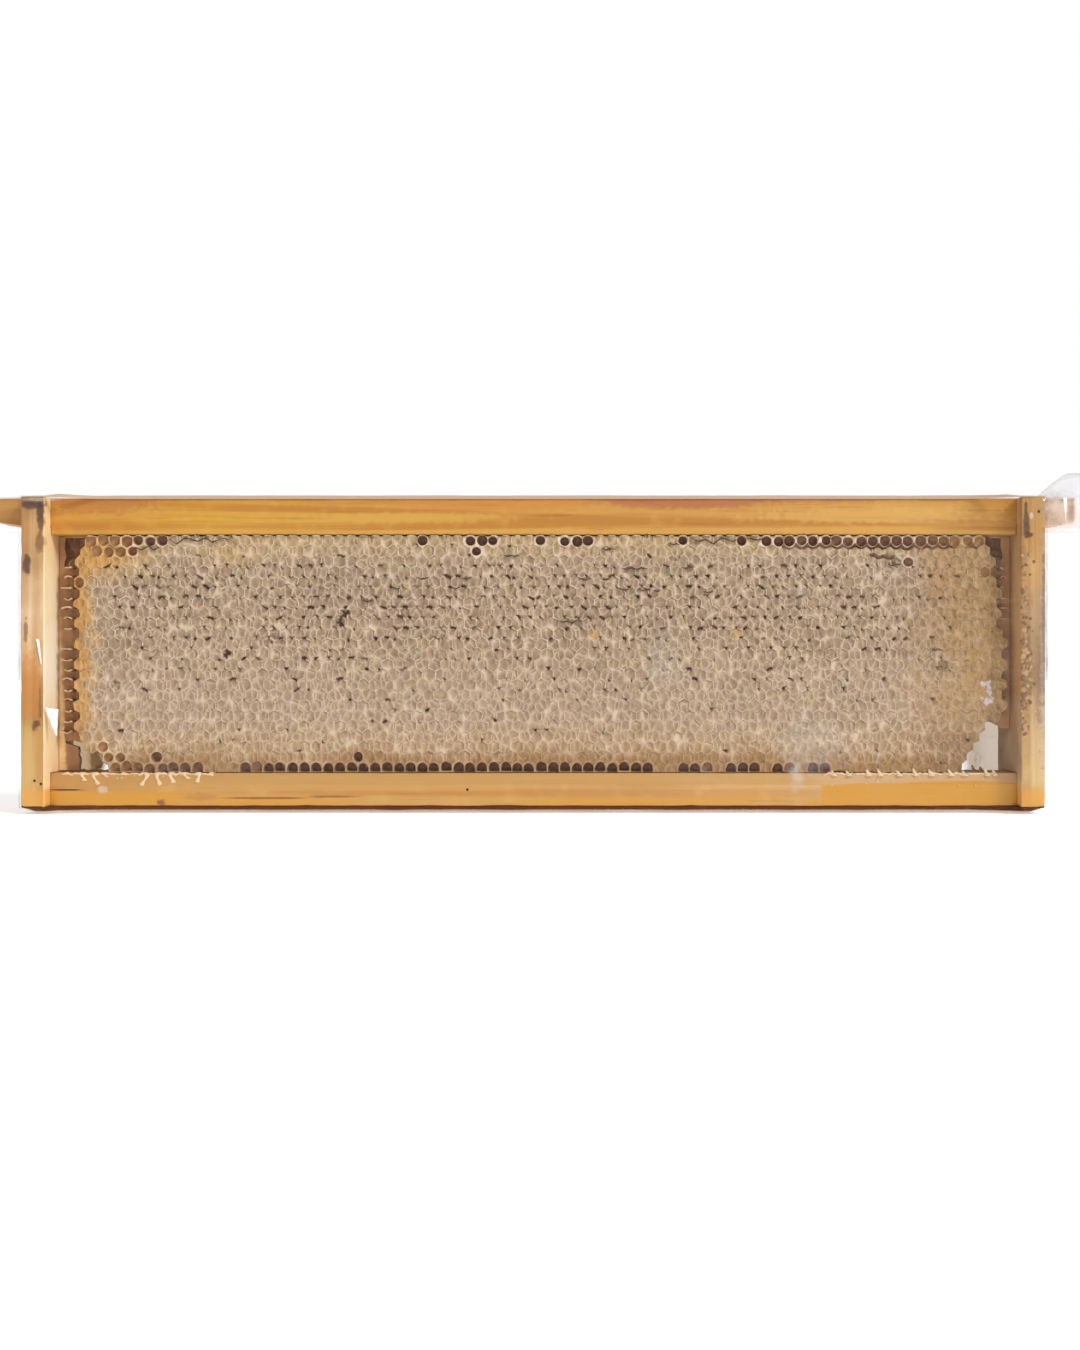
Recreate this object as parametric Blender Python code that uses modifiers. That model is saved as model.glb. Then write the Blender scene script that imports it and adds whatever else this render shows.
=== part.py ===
"""A shallow hive frame of honeycomb, wrapped in clear stretch film.

Four pine bars are notched and nailed into a frame: a top bar whose ends reach
out as lugs, two end bars and a bottom bar. The bees have filled it with one
comb, capped on both sides, with a margin of open cells. The film is a sleeve
round the frame with a closed pocket over each lug, and honey that leaked out
lies in it below the bars. The frame stands on its feet: X runs along it, Y
through it, front towards -Y, and Z is up.
"""
from math import radians

import bmesh
import bpy
from mathutils import Matrix, Vector

# Driving dimensions, in metres
GAP = 0.0003                 # clearance between pieces that touch
FILM = 0.0004                # film, drawn thick enough to stay a solid
FILM_SAG = 0.0023            # how far leaked honey holds the film off the wood below
FRAME_LENGTH = 0.4477        # over the two end bars
FRAME_HEIGHT = 0.1360
END_DEPTH = 0.0350           # end bar, front to back
END_THICKNESS = 0.0105
TOP_LENGTH = 0.4800          # top bar with its lugs
TOP_WIDTH = 0.0210
TOP_HEIGHT = 0.0160
LUG_ROOT = 0.0124            # lug's thickness where it leaves the end bar
LUG_TIP = 0.0100
BOTTOM_WIDTH = 0.0220
BOTTOM_HEIGHT = 0.0145
BEVEL_RISE = 0.0049          # sloped upper part of the bottom bar's faces
BEVEL_INSET = 0.0012
WOOD_EDGE = 0.0006           # eased edge of the planed wood

CELL_PITCH = 0.0052          # from one upright cell wall to the next
CELL_RISE = 0.00458          # from one row of cells to the next
CELL_FILL = 0.90             # an open cell's mouth against its full outline
CELL_DEPTH = 0.0085
COMB_THICKNESS = 0.0215
COMB_SIDE_ROUND = 0.0070     # how far the comb thins towards the end bars
COMB_EDGE_ROUND = 0.0022     # the same under the top bar and over the bottom bar

# Corners that the bees left open: side, level, width and height of each
CORNER_GAPS = (
    (-1, 1, 0.0135, 0.0135),
    (1, 1, 0.0115, 0.0115),
    (-1, -1, 0.0195, 0.0125),
    (1, -1, 0.0255, 0.0215),
)
# Runs of open cells: row counted from the bottom or, if negative, from the top,
# then where the run starts and ends, and one in how many cells is open
OPEN_RUNS = (
    (0, -0.190, -0.140, 1),
    (0, -0.126, 0.054, 1),
    (0, 0.060, 0.150, 2),
    (1, -0.188, -0.168, 1),
    (1, 0.028, 0.031, 1),
    (-1, -0.196, -0.160, 1),
    (-2, -0.192, -0.172, 1),
    (-1, -0.053, -0.048, 1),
    (-1, -0.032, -0.016, 1),
    (-2, -0.029, -0.025, 1),
    (-1, 0.000, 0.028, 2),
    (-1, 0.064, 0.070, 1),
    (-1, 0.090, 0.116, 1),
    (-2, 0.112, 0.150, 1),
    (-3, 0.146, 0.196, 2),
)
# Open cells down the two sides: side, lowest and highest cell
SIDE_RUNS = (
    (-1, 0.032, 0.104),
    (1, 0.070, 0.108),
)

# Levels and faces that follow from them
FLOOR = FILM + FILM_SAG + GAP                     # underside of the wood
INNER_FACE = FRAME_LENGTH / 2 - END_THICKNESS     # of an end bar
FRAME_TOP = FLOOR + FRAME_HEIGHT
COMB_BOTTOM = FLOOR + BOTTOM_HEIGHT + GAP
COMB_TOP = FRAME_TOP - TOP_HEIGHT - GAP
FIRST_ROW = COMB_BOTTOM + 0.0025                  # the lowest cells sit on the bar
LAST_ROW = round((COMB_TOP - FIRST_ROW) / CELL_RISE) - 1


def clear_scene():
    for old in list(bpy.data.objects):
        bpy.data.objects.remove(old, do_unlink=True)


def make_collection(name):
    collection = bpy.data.collections.new(name)
    bpy.context.scene.collection.children.link(collection)
    return collection


def make_material(name, colour, roughness, alpha=1.0):
    material = bpy.data.materials.new(name)
    material.use_nodes = True
    shader = material.node_tree.nodes["Principled BSDF"]
    shader.inputs["Base Color"].default_value = (*colour, 1.0)
    shader.inputs["Roughness"].default_value = roughness
    shader.inputs["Metallic"].default_value = 0.0
    shader.inputs["Alpha"].default_value = alpha
    return material


def file_under(piece, collection):
    for old in list(piece.users_collection):
        old.objects.unlink(piece)
    collection.objects.link(piece)


def add_box(name, low, high, collection):
    """A box from its lowest to its highest corner."""
    size = Vector(high) - Vector(low)
    bpy.ops.mesh.primitive_cube_add(size=1.0, location=(Vector(low) + Vector(high)) / 2)
    box = bpy.context.object
    box.name = name
    box.data.name = name
    box.data.transform(Matrix.Diagonal((*size, 1.0)))
    file_under(box, collection)
    return box


def tilt(box, pivot, angle, axis):
    """Turn a box about a line through the pivot, along X or Y."""
    turn = Matrix.Rotation(angle, 4, axis)
    box.location = Vector(pivot) + turn.to_3x3() @ (box.location - Vector(pivot))
    box.rotation_euler = turn.to_euler()


def ease_edges(piece, width, segments=2):
    bevel = piece.modifiers.new("eased edges", "BEVEL")
    bevel.width = width
    bevel.segments = segments
    bevel.limit_method = "ANGLE"
    bevel.angle_limit = radians(30)


def cut(piece, cutter):
    cutter.hide_render = True
    cutter.display_type = "WIRE"
    boolean = piece.modifiers.new("cut by " + cutter.name, "BOOLEAN")
    boolean.operation = "DIFFERENCE"
    boolean.solver = "EXACT"
    boolean.object = cutter


# The bars -----------------------------------------------------------------

def add_top_bar(wood):
    """One straight bar. Its underside is cut away at both ends: level through
    the end bar's notch, then rising a little towards the tip of the lug."""
    bar = add_box("top_bar", (-TOP_LENGTH / 2, -TOP_WIDTH / 2, FRAME_TOP - TOP_HEIGHT),
                  (TOP_LENGTH / 2, TOP_WIDTH / 2, FRAME_TOP), part)
    bar.data.materials.append(wood)
    ease_edges(bar, WOOD_EDGE)
    reach = TOP_LENGTH / 2 - FRAME_LENGTH / 2
    taper = (LUG_ROOT - LUG_TIP) / reach
    for side, word in ((-1, "left"), (1, "right")):
        start = side * (INNER_FACE - GAP)
        end = side * (TOP_LENGTH / 2 + 0.01)
        under = add_box("cut_under_lug_" + word,
                        (min(start, end), -TOP_WIDTH, FRAME_TOP - 2 * TOP_HEIGHT),
                        (max(start, end), TOP_WIDTH, FRAME_TOP - LUG_ROOT), cutters)
        cut(bar, under)
        root = side * FRAME_LENGTH / 2
        past_tip = root + 2 * side * reach
        wedge = add_box("cut_lug_taper_" + word,
                        (min(root, past_tip), -TOP_WIDTH, FRAME_TOP - 2 * LUG_ROOT),
                        (max(root, past_tip), TOP_WIDTH, FRAME_TOP - LUG_ROOT), cutters)
        tilt(wedge, (root, 0, FRAME_TOP - LUG_ROOT), -side * taper, "Y")
        cut(bar, wedge)
    return bar


def add_end_bar(word, side, wood):
    """A straight upright plate, notched at the top for the lug, whose ears stand
    in front of and behind it, and at the bottom for the bottom bar."""
    outer = side * FRAME_LENGTH / 2
    inner = side * INNER_FACE
    left = min(outer, inner)
    right = max(outer, inner)
    bar = add_box("end_bar_" + word, (left, -END_DEPTH / 2, FLOOR),
                  (right, END_DEPTH / 2, FRAME_TOP), part)
    bar.data.materials.append(wood)
    ease_edges(bar, WOOD_EDGE)
    half = TOP_WIDTH / 2 + GAP
    cut(bar, add_box("cut_top_notch_" + word,
                     (left - 0.01, -half, FRAME_TOP - LUG_ROOT - GAP),
                     (right + 0.01, half, FRAME_TOP + 0.01), cutters))
    half = BOTTOM_WIDTH / 2 + GAP
    cut(bar, add_box("cut_bottom_notch_" + word,
                     (left - 0.01, -half, FLOOR - 0.01),
                     (right + 0.01, half, FLOOR + BOTTOM_HEIGHT + GAP), cutters))
    return bar


def add_bottom_bar(wood):
    """One bar through both end bars, with the upper part of its front and back
    faces planed back to a slope."""
    top = FLOOR + BOTTOM_HEIGHT
    bar = add_box("bottom_bar", (-FRAME_LENGTH / 2, -BOTTOM_WIDTH / 2, FLOOR),
                  (FRAME_LENGTH / 2, BOTTOM_WIDTH / 2, top), part)
    bar.data.materials.append(wood)
    ease_edges(bar, WOOD_EDGE / 2, segments=1)
    slope = BEVEL_INSET / BEVEL_RISE
    for face, word in ((-1, "front"), (1, "back")):
        surface = face * BOTTOM_WIDTH / 2
        sides = sorted((surface, surface + face * BOTTOM_WIDTH))
        plane = add_box("cut_slope_" + word, (-FRAME_LENGTH, sides[0], top - 3 * BEVEL_RISE),
                        (FRAME_LENGTH, sides[1], top + BEVEL_RISE), cutters)
        tilt(plane, (0, surface, top - BEVEL_RISE), face * slope, "X")
        cut(bar, plane)
    return bar


# The comb -----------------------------------------------------------------

def cell_centre(row, column):
    shift = 0.5 if row % 2 else 0.0
    return Vector(((column + shift) * CELL_PITCH, 0, FIRST_ROW + row * CELL_RISE))


def cell_corners(centre, scale=1.0):
    """The six corners of a cell that stands on its point."""
    half = CELL_PITCH / 2 * scale
    low = CELL_RISE / 3 * scale
    tip = CELL_RISE * 2 / 3 * scale
    steps = ((half, low), (0, tip), (-half, low), (-half, -low), (0, -tip), (half, -low))
    return [centre + Vector((across, 0, up)) for across, up in steps]


def all_cells():
    """Every cell from end bar to end bar, and one beyond on each side."""
    reach = int(INNER_FACE / CELL_PITCH) + 2
    for row in range(-1, LAST_ROW + 3):
        for column in range(-reach, reach + 1):
            yield row, column


def in_corner_gap(centre):
    for side, level, width, height in CORNER_GAPS:
        across = max(INNER_FACE - side * centre.x, 0.0)
        if level > 0:
            up = max(COMB_TOP - centre.z, 0.0)
        else:
            up = max(centre.z - COMB_BOTTOM, 0.0)
        if (across / width) ** 2 + (up / height) ** 2 < 1.0:
            return True
    return False


def is_open(row, column):
    centre = cell_centre(row, column)
    if in_corner_gap(centre) or not 0 <= row <= LAST_ROW:
        return False
    if abs(centre.x) > INNER_FACE - CELL_PITCH / 2:
        return False
    for run_row, start, end, step in OPEN_RUNS:
        level = run_row if run_row >= 0 else LAST_ROW + 1 + run_row
        if row == level and start <= centre.x <= end and column % step == 0:
            return True
    for side, low, high in SIDE_RUNS:
        first = side * centre.x > INNER_FACE - 1.5 * CELL_PITCH
        if first and low <= centre.z <= high:
            return True
    return False


def add_cell_cutter(name, cells, scale, front, back):
    """Prisms through the comb, one for each cell. Full cells share their
    corners, so that a patch of them makes one body."""
    shape = bmesh.new()
    corners = {}
    for row, column in cells:
        ring = []
        for corner in cell_corners(cell_centre(row, column), scale):
            key = (round(corner.x, 5), round(corner.z, 5))
            if key not in corners:
                corners[key] = shape.verts.new((corner.x, front, corner.z))
            ring.append(corners[key])
        shape.faces.new(ring)
    moved = bmesh.ops.extrude_face_region(shape, geom=shape.faces[:])
    for item in moved["geom"]:
        if isinstance(item, bmesh.types.BMVert):
            item.co.y = back
    bmesh.ops.recalc_face_normals(shape, faces=shape.faces)
    mesh = bpy.data.meshes.new(name)
    shape.to_mesh(mesh)
    shape.free()
    cutter = bpy.data.objects.new(name, mesh)
    cutters.objects.link(cutter)
    return cutter


def add_comb(wax):
    """A slab that thins towards the end bars, with whole cells missing at the
    corners and the open cells of both faces sunk into it."""
    half = COMB_THICKNESS / 2
    comb = add_box("comb", (-INNER_FACE + GAP, -half, COMB_BOTTOM),
                   (INNER_FACE - GAP, half, COMB_TOP), part)
    comb.data.materials.append(wax)
    shape = bmesh.new()
    shape.from_mesh(comb.data)
    upright = [edge for edge in shape.edges
               if abs(edge.verts[0].co.z - edge.verts[1].co.z) > half]
    bmesh.ops.bevel(shape, geom=upright, offset=COMB_SIDE_ROUND, segments=4, profile=0.5,
                    affect="EDGES")
    shape.to_mesh(comb.data)
    shape.free()
    ease_edges(comb, COMB_EDGE_ROUND)
    gaps = [(row, column) for row, column in all_cells()
            if in_corner_gap(cell_centre(row, column))]
    cut(comb, add_cell_cutter("cut_corner_gaps", gaps, 1.0, -2 * half, 2 * half))
    opened = [(row, column) for row, column in all_cells() if is_open(row, column)]
    mouths = ((-1, "front"), (1, "back"))
    for face, word in mouths:
        cut(comb, add_cell_cutter("cut_open_cells_" + word, opened, CELL_FILL,
                                  face * 2 * half, face * (half - CELL_DEPTH)))
    return comb


# The film -----------------------------------------------------------------

def add_film_wrap(film):
    """The film round the four bars, open only where the lugs come out."""
    inside = Vector((FRAME_LENGTH / 2 + GAP, END_DEPTH / 2 + GAP, 0))
    outside = inside + Vector((FILM, FILM, 0))
    wrap = add_box("film_wrap", (-outside.x, -outside.y, 0),
                   (outside.x, outside.y, FRAME_TOP + GAP + FILM), part)
    wrap.data.materials.append(film)
    ease_edges(wrap, WOOD_EDGE)
    hollow = add_box("cut_film_inside", (-inside.x, -inside.y, FILM),
                     (inside.x, inside.y, FRAME_TOP + GAP), cutters)
    ease_edges(hollow, WOOD_EDGE / 2, segments=1)
    cut(wrap, hollow)
    half = TOP_WIDTH / 2 + GAP
    cut(wrap, add_box("cut_film_slots", (-TOP_LENGTH, -half, FRAME_TOP - LUG_ROOT - GAP),
                      (TOP_LENGTH, half, FRAME_TOP + GAP), cutters))
    return wrap


def add_film_lug(word, side, film):
    """A pocket of film over a lug, open towards the end bar."""
    root = FRAME_LENGTH / 2 + 2 * GAP + FILM
    tip = TOP_LENGTH / 2 + GAP
    skin = GAP + FILM
    half = TOP_WIDTH / 2
    low = FRAME_TOP - LUG_ROOT
    shell = [(root, half + skin, low - skin), (tip + FILM, half + skin, FRAME_TOP + skin)]
    space = [(root - 0.005, half + GAP, low - GAP), (tip, half + GAP, FRAME_TOP + GAP)]
    boxes = []
    for name, corners, home in (("film_lug_" + word, shell, part),
                                ("cut_pocket_" + word, space, cutters)):
        (start, across, bottom), (end, _, top) = corners
        ends = sorted((side * start, side * end))
        boxes.append(add_box(name, (ends[0], -across, bottom), (ends[1], across, top), home))
    pocket, hollow = boxes
    pocket.data.materials.append(film)
    cut(pocket, hollow)
    return pocket


clear_scene()
part = make_collection("honeycomb_frame")
cutters = make_collection("cutters")
pine = make_material("pine", (0.60, 0.37, 0.15), 0.55)
cappings = make_material("beeswax cappings", (0.47, 0.33, 0.20), 0.6)
stretch_film = make_material("stretch film", (0.90, 0.90, 0.90), 0.15, alpha=0.2)

add_top_bar(pine)
for bar_word, bar_side in (("left", -1), ("right", 1)):
    add_end_bar(bar_word, bar_side, pine)
    add_film_lug(bar_word, bar_side, stretch_film)
add_bottom_bar(pine)
add_comb(cappings)
add_film_wrap(stretch_film)
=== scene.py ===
"""Finish for the honeycomb frame: weathered pine, capped comb, honey and clear film."""

import random
from math import cos, floor, hypot, pi, radians, sin

import bmesh
import bpy
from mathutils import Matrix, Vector, noise


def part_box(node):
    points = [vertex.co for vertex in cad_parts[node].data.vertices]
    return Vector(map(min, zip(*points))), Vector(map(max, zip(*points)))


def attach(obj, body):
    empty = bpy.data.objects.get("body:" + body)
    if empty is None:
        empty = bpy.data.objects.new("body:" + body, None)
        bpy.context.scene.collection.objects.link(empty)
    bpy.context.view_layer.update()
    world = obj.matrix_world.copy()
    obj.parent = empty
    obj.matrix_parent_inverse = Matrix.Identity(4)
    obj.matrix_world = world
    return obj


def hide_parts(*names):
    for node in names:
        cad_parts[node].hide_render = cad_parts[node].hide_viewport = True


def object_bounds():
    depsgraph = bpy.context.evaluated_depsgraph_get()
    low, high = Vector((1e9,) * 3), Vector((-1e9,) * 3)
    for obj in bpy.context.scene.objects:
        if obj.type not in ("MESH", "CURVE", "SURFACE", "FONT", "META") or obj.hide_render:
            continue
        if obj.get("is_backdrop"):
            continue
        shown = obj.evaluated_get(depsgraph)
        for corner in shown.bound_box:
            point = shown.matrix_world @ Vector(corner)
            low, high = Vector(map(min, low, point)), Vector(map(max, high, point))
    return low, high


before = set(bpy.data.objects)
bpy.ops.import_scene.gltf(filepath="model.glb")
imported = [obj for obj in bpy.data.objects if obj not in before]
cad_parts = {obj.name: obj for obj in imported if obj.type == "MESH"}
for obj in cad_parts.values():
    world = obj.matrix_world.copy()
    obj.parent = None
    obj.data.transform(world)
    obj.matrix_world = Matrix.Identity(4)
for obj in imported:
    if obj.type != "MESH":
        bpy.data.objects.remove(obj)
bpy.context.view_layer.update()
MM = 0.001


# Studio ---------------------------------------------------------------------
# A white table under a white sky, with one broad soft light high on the right.
# The camera stands square to the frame, level with its middle and a little to
# the right of it. Levels below are in mm above the foot of the wood.
CAMERA_AWAY = 600 * MM         # from the front of the end bars
CAMERA_RIGHT = 23.1 * MM
CAMERA_LEVEL = 57.9 * MM

camera_data = bpy.data.cameras.new("camera")
camera_data.lens = 36.64
camera_data.shift_x = -0.034
camera_data.clip_start = 0.01
camera = bpy.data.objects.new("camera", camera_data)
bpy.context.collection.objects.link(camera)
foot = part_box("end_bar_left")[0].z
front_of_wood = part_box("end_bar_left")[0].y
camera.location = (CAMERA_RIGHT, front_of_wood - CAMERA_AWAY, foot + CAMERA_LEVEL)
camera.rotation_euler = (radians(90), 0, 0)
bpy.context.scene.camera = camera
bpy.context.scene.view_settings.view_transform = "Standard"


def linear(shades):
    """A colour given as screen shades from 0 to 255, as the shader wants it."""
    parts = [shade / 255 for shade in shades]
    return (*[p / 12.92 if p <= 0.04045 else ((p + 0.055) / 1.055) ** 2.4 for p in parts], 1.0)


def feed(node, feeds):
    """Sets a number or colour on each socket, or joins another node's output to it."""
    for socket, value in feeds.items():
        if isinstance(value, bpy.types.NodeSocket):
            node.id_data.links.new(value, node.inputs[socket])
        else:
            node.inputs[socket].default_value = value


def step(tree, kind, feeds=None, **settings):
    """One shader node: its settings, then what goes into its sockets."""
    node = tree.nodes.new("ShaderNode" + kind)
    for name, value in settings.items():
        setattr(node, name, value)
    feed(node, feeds or {})
    return node


def sums(tree, operation, first, second=0.0, third=0.0):
    node = step(tree, "Math", {0: first, 1: second, 2: third}, operation=operation)
    return node.outputs[0]


def scaled(tree, value, factor, added):
    return sums(tree, "MULTIPLY_ADD", value, factor, added)


def mixed(tree, amount, under, over, blend="MIX"):
    """Lays one colour over another; either can be given as screen shades."""
    under, over = [linear(c) if isinstance(c, tuple) else c for c in (under, over)]
    node = step(tree, "Mix", {0: amount, 6: under, 7: over}, data_type="RGBA",
                blend_type=blend)
    return node.outputs[2]


def stretched(tree, scale=(1, 1, 1)):
    """Places on the object in metres, multiplied by a scale for each axis."""
    where = step(tree, "TexCoord").outputs["Object"]
    return step(tree, "Mapping", {"Vector": where, "Scale": scale}).outputs[0]


def cloud(tree, where, scale, detail=4.0, distortion=0.0):
    node = step(tree, "TexNoise", {"Vector": where, "Scale": scale, "Detail": detail,
                                   "Distortion": distortion})
    return node.outputs[0]


def new_material(name, *pieces):
    """Puts a new material on pieces. Gives its tree of nodes and its shader."""
    material = bpy.data.materials.new(name)
    material.use_nodes = True
    for piece in pieces:
        piece.data.materials.append(material)
    return material.node_tree, material.node_tree.nodes["Principled BSDF"]


key_light = bpy.data.lights.new("key light", "SUN")
key_light.energy = 1.9
key_light.angle = radians(18)
key = bpy.data.objects.new("key light", key_light)
key.rotation_euler = Vector((-0.68, 0.45, -0.60)).to_track_quat("-Z", "Y").to_euler()
bpy.context.collection.objects.link(key)

sky = bpy.data.worlds.new("white sky")
sky.use_nodes = True
seen = step(sky.node_tree, "LightPath").outputs["Is Camera Ray"]
feed(sky.node_tree.nodes["Background"], {
    "Color": linear((255, 255, 255)), "Strength": scaled(sky.node_tree, seen, 0.55, 0.45)})
bpy.context.scene.world = sky

bpy.ops.mesh.primitive_plane_add(size=30.0)
table = bpy.context.object
table.name = "table"
tree, shader = new_material("white table", table)
grit = cloud(tree, stretched(tree), 40.0)
feed(shader, {"Base Color": mixed(tree, grit, (248, 248, 248), (253, 253, 253)),
              "Roughness": 0.8, "Specular IOR Level": 0.1,
              "Emission Color": linear((255, 255, 255)), "Emission Strength": 0.48})
table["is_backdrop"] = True


# Top bar --------------------------------------------------------------------
# One planed stick of pine whose thin ends, the lugs, hang on the ledges of a
# hive. Wax and handling have turned it orange, and bees have rubbed reddish
# propolis into its upper edge.
def rough(x, y, z, scale, seed):
    """Noise from about -1 to 1, with features of the given size in mm."""
    return noise.noise(Vector((x, y, z)) / (scale * MM) + Vector((seed * 7.3, seed, 0)))


def within(value, low, high):
    return min(max(value, low), high)


CUT_ALONG = 3.0 * MM           # from one cut to the next, where wear moves the wood
CUT_ACROSS = 1.6 * MM
EDGE_WIDTH = 0.9 * MM          # how far in an edge is rubbed round


def weathered_stick(name, node, along, wear=0.35 * MM):
    """The wooden bar as sawn and used: raised grain, shallow dents, worn edges."""
    body = bmesh.new()
    body.from_mesh(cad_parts[node].data)
    bmesh.ops.dissolve_limit(body, angle_limit=radians(0.5), verts=body.verts[:],
                             edges=body.edges[:])
    low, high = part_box(node)
    for axis in range(3):
        gap = CUT_ALONG if axis == along else CUT_ACROSS
        cuts = int((high[axis] - low[axis]) / gap)
        for cut in range(1, cuts):
            place = Vector((0, 0, 0))
            place[axis] = low[axis] + (high[axis] - low[axis]) * cut / cuts
            level = Vector((0, 0, 0))
            level[axis] = 1
            bmesh.ops.bisect_plane(body, geom=body.verts[:] + body.edges[:] + body.faces[:],
                                   dist=1e-6, plane_co=place, plane_no=level)
    body.normal_update()
    middle = (low + high) / 2
    shifts = {}
    for point in body.verts:
        x, y, z = point.co
        stretch = [1.0, 1.0, 1.0]
        stretch[along] = 0.06
        grain = rough(x * stretch[0], y * stretch[1], z * stretch[2], 1.3, 1)
        dent = min(rough(x, y, z, 16, 2) + 0.35, 0.0)
        shift = point.normal * (0.06 * MM * grain + 0.25 * MM * dent)
        near = sum(min(point.co[i] - low[i], high[i] - point.co[i]) < EDGE_WIDTH
                   for i in range(3))
        if near >= 2:
            bite = max(rough(x, y, z, 5, 3) + 0.6 * rough(x, y, z, 19, 4), 0.0)
            inward = (middle - point.co)
            inward[along] = 0.0
            shift += inward.normalized() * wear * bite
        shifts[point] = shift
    for point, shift in shifts.items():
        for i in range(3):
            point.co[i] = within(point.co[i] + shift[i], low[i], high[i])
    mesh = bpy.data.meshes.new(name)
    body.to_mesh(mesh)
    body.free()
    mesh.shade_smooth()
    mesh.set_sharp_from_angle(angle=radians(35))
    stick = bpy.data.objects.new(name, mesh)
    bpy.context.collection.objects.link(stick)
    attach(stick, "root")
    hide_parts(node)
    return stick


def place_along(tree, axis):
    """Place along one axis of the object in mm; levels are above the foot of the wood."""
    where = step(tree, "TexCoord").outputs["Object"]
    split = step(tree, "SeparateXYZ", {0: where}).outputs[axis]
    return scaled(tree, split, 1000.0, -foot / MM if axis == 2 else 0.0)


def shades_along(tree, axis, start, end, stops):
    """A colour that changes along one axis. Each stop is a place in mm and shades."""
    share = step(tree, "MapRange", {"Value": place_along(tree, axis), "From Min": start,
                                    "From Max": end}).outputs["Result"]
    ramp = step(tree, "ValToRGB", {0: share})
    ramp.color_ramp.interpolation = "EASE"
    points = ramp.color_ramp.elements
    while len(points) < len(stops):
        points.new(0.5)
    for point, (place, shades) in zip(points, stops):
        point.position = (place - start) / (end - start)
        point.color = linear(shades)
    return ramp.outputs[0]


def times(tree, first, second):
    return sums(tree, "MULTIPLY", first, second)


def rise(tree, value, start, end, top=1.0):
    """0 below start, top above end, smooth between; end may be below start."""
    node = step(tree, "MapRange", {"Value": value, "From Min": start, "From Max": end,
                                   "To Max": top}, interpolation_type="SMOOTHSTEP")
    return node.outputs["Result"]


def coated(tree, colour, *coats):
    """Lays coats over a colour in turn. A coat: how much of it, and its colour."""
    for cover, coat in coats:
        colour = mixed(tree, cover, colour, coat)
    return colour


def swayed(tree, value, noise_share, swing):
    """A value moved up and down by noise from 0 to 1."""
    return scaled(tree, sums(tree, "SUBTRACT", noise_share, 0.5), swing, value)


def patch(tree, centre, size, ragged=0.35, soft=0.35, grain=420.0):
    """A spot with a ragged edge: 1 inside, 0 outside. Centre and size in mm."""
    where = step(tree, "TexCoord").outputs["Object"]
    x, y, level = centre
    shift = step(tree, "VectorMath", {0: where, 1: (x * MM, y * MM, level * MM + foot)},
                 operation="SUBTRACT").outputs[0]
    share = step(tree, "VectorMath", {0: shift, 1: [s * MM / 2 for s in size]},
                 operation="DIVIDE").outputs[0]
    far = step(tree, "VectorMath", {0: share}, operation="LENGTH").outputs["Value"]
    far = swayed(tree, far, cloud(tree, where, grain, detail=5.0), ragged * 5)
    return rise(tree, far, 1.0 + soft, 1.0 - soft)


def stained(tree, colour, front, deep, spots):
    """Lays stains over a colour, on a face at the given front and as deep as given.
    A stain: side and level, width and height, shades, strength, raggedness."""
    for (x, level), (wide, high), shades, strength, ragged in spots:
        spot = patch(tree, (x, front, level), (wide, deep, high), ragged)
        colour = mixed(tree, times(tree, spot, strength), colour, shades)
    return colour


def pine_grain(tree, along, base, dark_share=0.5):
    """Growth rings and fibres in a darker shade of the base colour."""
    coarse = [170.0] * 3
    coarse[along] = 5.0
    fine = [1000.0] * 3
    fine[along] = 26.0
    bands = cloud(tree, stretched(tree, coarse), 1.0, detail=4.0, distortion=0.5)
    hairs = cloud(tree, stretched(tree, fine), 1.0, detail=5.0)
    mottle = cloud(tree, stretched(tree), 130.0, detail=4.0)
    deep = mixed(tree, 1.0, base, (214, 166, 112), "MULTIPLY")
    light = mixed(tree, 1.0, base, (255, 255, 255), "SOFT_LIGHT")
    colour = coated(tree, base, (rise(tree, bands, 0.46, 0.64, dark_share), deep),
                    (rise(tree, hairs, 0.54, 0.72, dark_share * 0.8), deep),
                    (rise(tree, mottle, 0.5, 0.78, 0.22), light))
    return colour, bands, hairs


def finish_pine(tree, shader, colour, bands, hairs, wet=None):
    """Colour, gloss and raised grain on a bar; wet is where honey soaks it."""
    gloss = scaled(tree, hairs, 0.25, 0.42)
    if wet is not None:
        gloss = scaled(tree, wet, -0.22, gloss)
        feed(shader, {"Coat Weight": times(tree, wet, 0.5), "Coat Roughness": 0.15})
    grain = step(tree, "Bump", {"Height": scaled(tree, hairs, 0.6, bands), "Strength": 0.35,
                                "Distance": 0.4 * MM})
    feed(shader, {"Base Color": colour, "Roughness": gloss, "Specular IOR Level": 0.3,
                  "Normal": grain.outputs[0]})


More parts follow.
